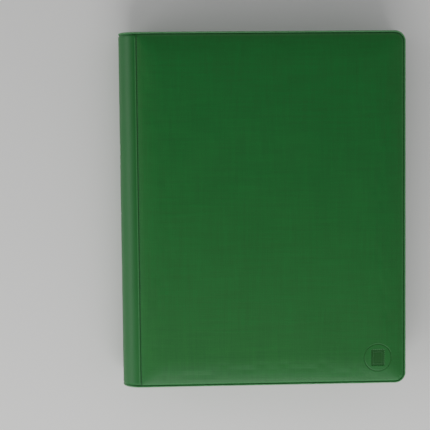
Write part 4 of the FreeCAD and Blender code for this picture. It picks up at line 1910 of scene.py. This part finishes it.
@dataclass(frozen=True)
class KeptPieces:
    """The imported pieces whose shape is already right, and the finish that each gets."""

    finish_of: tuple[tuple[str, Leatherette | Cloth | Plain], ...] = (
        ("foam", FOAM), ("board", GREYBOARD), ("lining", LINING_CLOTH),
        ("binding_strip", LINING_CLOTH), ("sewn_margins", PAGE), ("zip_end_tabs", WALL_SKIN),
    )

    def dress(self, nodes: dict[str, bpy.types.Object], finishes: Finishes) -> None:
        """Gives each kept piece its finish.

        Args:
            nodes: the frame's nodes.
            finishes: the shared finishes.
        """
        for name, node in nodes.items():
            for part, finish in self.finish_of:
                if part in name and not node.hide_render:
                    node.data.materials.clear()
                    node.data.materials.append(finishes.get(finish))
                    LOG.info("%s: %s", name, finish.name)
                    break


# ---- Studio --------------------------------------------------------------------------


@dataclass(frozen=True)
class Softbox:
    """One soft light: where it stands, what it points at, its size in metres and its power."""

    name: str
    place: tuple[float, float, float]
    aim: tuple[float, float, float]
    size: tuple[float, float]
    power: float

    def build(self) -> None:
        """Makes the light."""
        light = bpy.data.lights.new(self.name, "AREA")
        light.shape = "RECTANGLE"
        light.size, light.size_y = self.size
        light.energy = self.power
        lamp = bpy.data.objects.new(self.name, light)
        lamp.location = self.place
        toward = Vector(self.aim) - Vector(self.place)
        lamp.rotation_euler = toward.to_track_quat("-Z", "Y").to_euler()
        bpy.context.scene.collection.objects.link(lamp)


@dataclass(frozen=True)
class Studio:
    """A pale floor, softboxes to the left, right and tail of the album, and the camera above."""

    floor_colour: str = "f5f4f1"
    floor_size: float = 12.0
    floor_z: float = -0.6 * MM
    sky: str = "f2f4f7"
    sky_heights: tuple[float, float] = (0.5, 0.97)
    horizon_strength: float = 0.66
    zenith_strength: float = 0.06
    camera_place: tuple[float, float, float] = (-0.1224, 0.0897, 1.5)
    camera_tilt: tuple[float, float, float] = (-3.774, -2.424, -0.76)
    lens: float = 96.94
    sensor: float = 36.0
    softboxes: tuple[Softbox, ...] = (
        Softbox("tail_softbox", (-0.1, -1.2, 0.92), (0.0, -0.1, 0.05), (1.6, 0.7), 17.2),
        Softbox("left_softbox", (-1.9, -0.1, 0.75), (-0.1, 0.0, 0.05), (1.8, 0.8), 13.0),
        Softbox("right_softbox", (1.7, -0.3, 1.0), (0.1, 0.0, 0.05), (1.2, 1.6), 1.0),
    )

    def build(self) -> None:
        """Makes the floor, the lights and the camera."""
        self._floor()
        for softbox in self.softboxes:
            softbox.build()
        self._sky()
        self._camera()

    def _sky(self) -> None:
        """Makes the soft fill: bright low down, where the studio's walls are, and dark above."""
        world = bpy.data.worlds.new("studio_fill")
        world.use_nodes = True
        tree = world.node_tree
        up = add_node(tree, "ShaderNodeTexCoord").outputs["Generated"]
        height = add_node(tree, "ShaderNodeSeparateXYZ", {"Vector": up}).outputs["Z"]
        strength = add_node(
            tree, "ShaderNodeMapRange",
            {"Value": height, "From Min": self.sky_heights[0], "From Max": self.sky_heights[1],
             "To Min": self.horizon_strength, "To Max": self.zenith_strength},
            interpolation_type="SMOOTHSTEP",
        ).outputs[0]
        background = tree.nodes["Background"]
        background.inputs["Color"].default_value = linear(self.sky)
        tree.links.new(strength, background.inputs["Strength"])
        bpy.context.scene.world = world

    def _floor(self) -> None:
        """Makes the floor, just under the album's rest face."""
        half = self.floor_size / 2 / MM
        lines = np.linspace(-half, half, 5)
        x, y = np.meshgrid(lines, lines, indexing="ij")
        shell = Shell()
        shell.add_grid(np.stack([x, y, np.full_like(x, self.floor_z / MM)], -1))
        paper = Plain(
            "studio_paper", self.floor_colour, self.floor_colour, speck=40 * MM, roughness=0.9
        )
        shell.make("studio_floor", paper.material())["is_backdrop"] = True

    def _camera(self) -> None:
        """Makes the camera, looking down with the spine's side a little in view."""
        data = bpy.data.cameras.new("camera")
        data.lens, data.sensor_width = self.lens, self.sensor
        camera = bpy.data.objects.new("camera", data)
        turn = Matrix.Identity(4)
        for angle, axis in zip(self.camera_tilt, "XYZ"):
            turn = turn @ Matrix.Rotation(math.radians(angle), 4, axis)
        camera.matrix_world = Matrix.Translation(self.camera_place) @ turn
        bpy.context.scene.collection.objects.link(camera)
        bpy.context.scene.camera = camera


def main() -> None:
    """Builds the album's pieces in order, then the studio."""
    logging.basicConfig(level=logging.INFO, format="%(message)s")
    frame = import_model()
    layout = Layout.from_frame(frame["joints"])
    finishes = Finishes()
    for side in Side:
        CoverPanel(layout, side, Mark.STAMP if side is Side.FRONT else Mark.NONE).build(finishes)
        CoverRim(layout, side).build(finishes)
        CoverSeam(layout, side).build(finishes)
        SpineLeather(layout, side).build(finishes)
        HingeStrip(layout, side).build(finishes)
        SideWall(layout, side).build(finishes)
    leaf_count = sum(name.startswith("leaf_") for name in frame["nodes"])
    opened_at = (leaf_count // 2, leaf_count // 2 + 1)
    for number in range(1, leaf_count + 1):
        facing = number in opened_at
        PocketLeaf(layout, number, facing).build(finishes)
    ZipSlider(layout).build(finishes)
    ZipPull(layout).build(finishes)
    KeptPieces().dress(frame["nodes"], finishes)
    Studio().build()


if __name__ == "__main__":
    main()
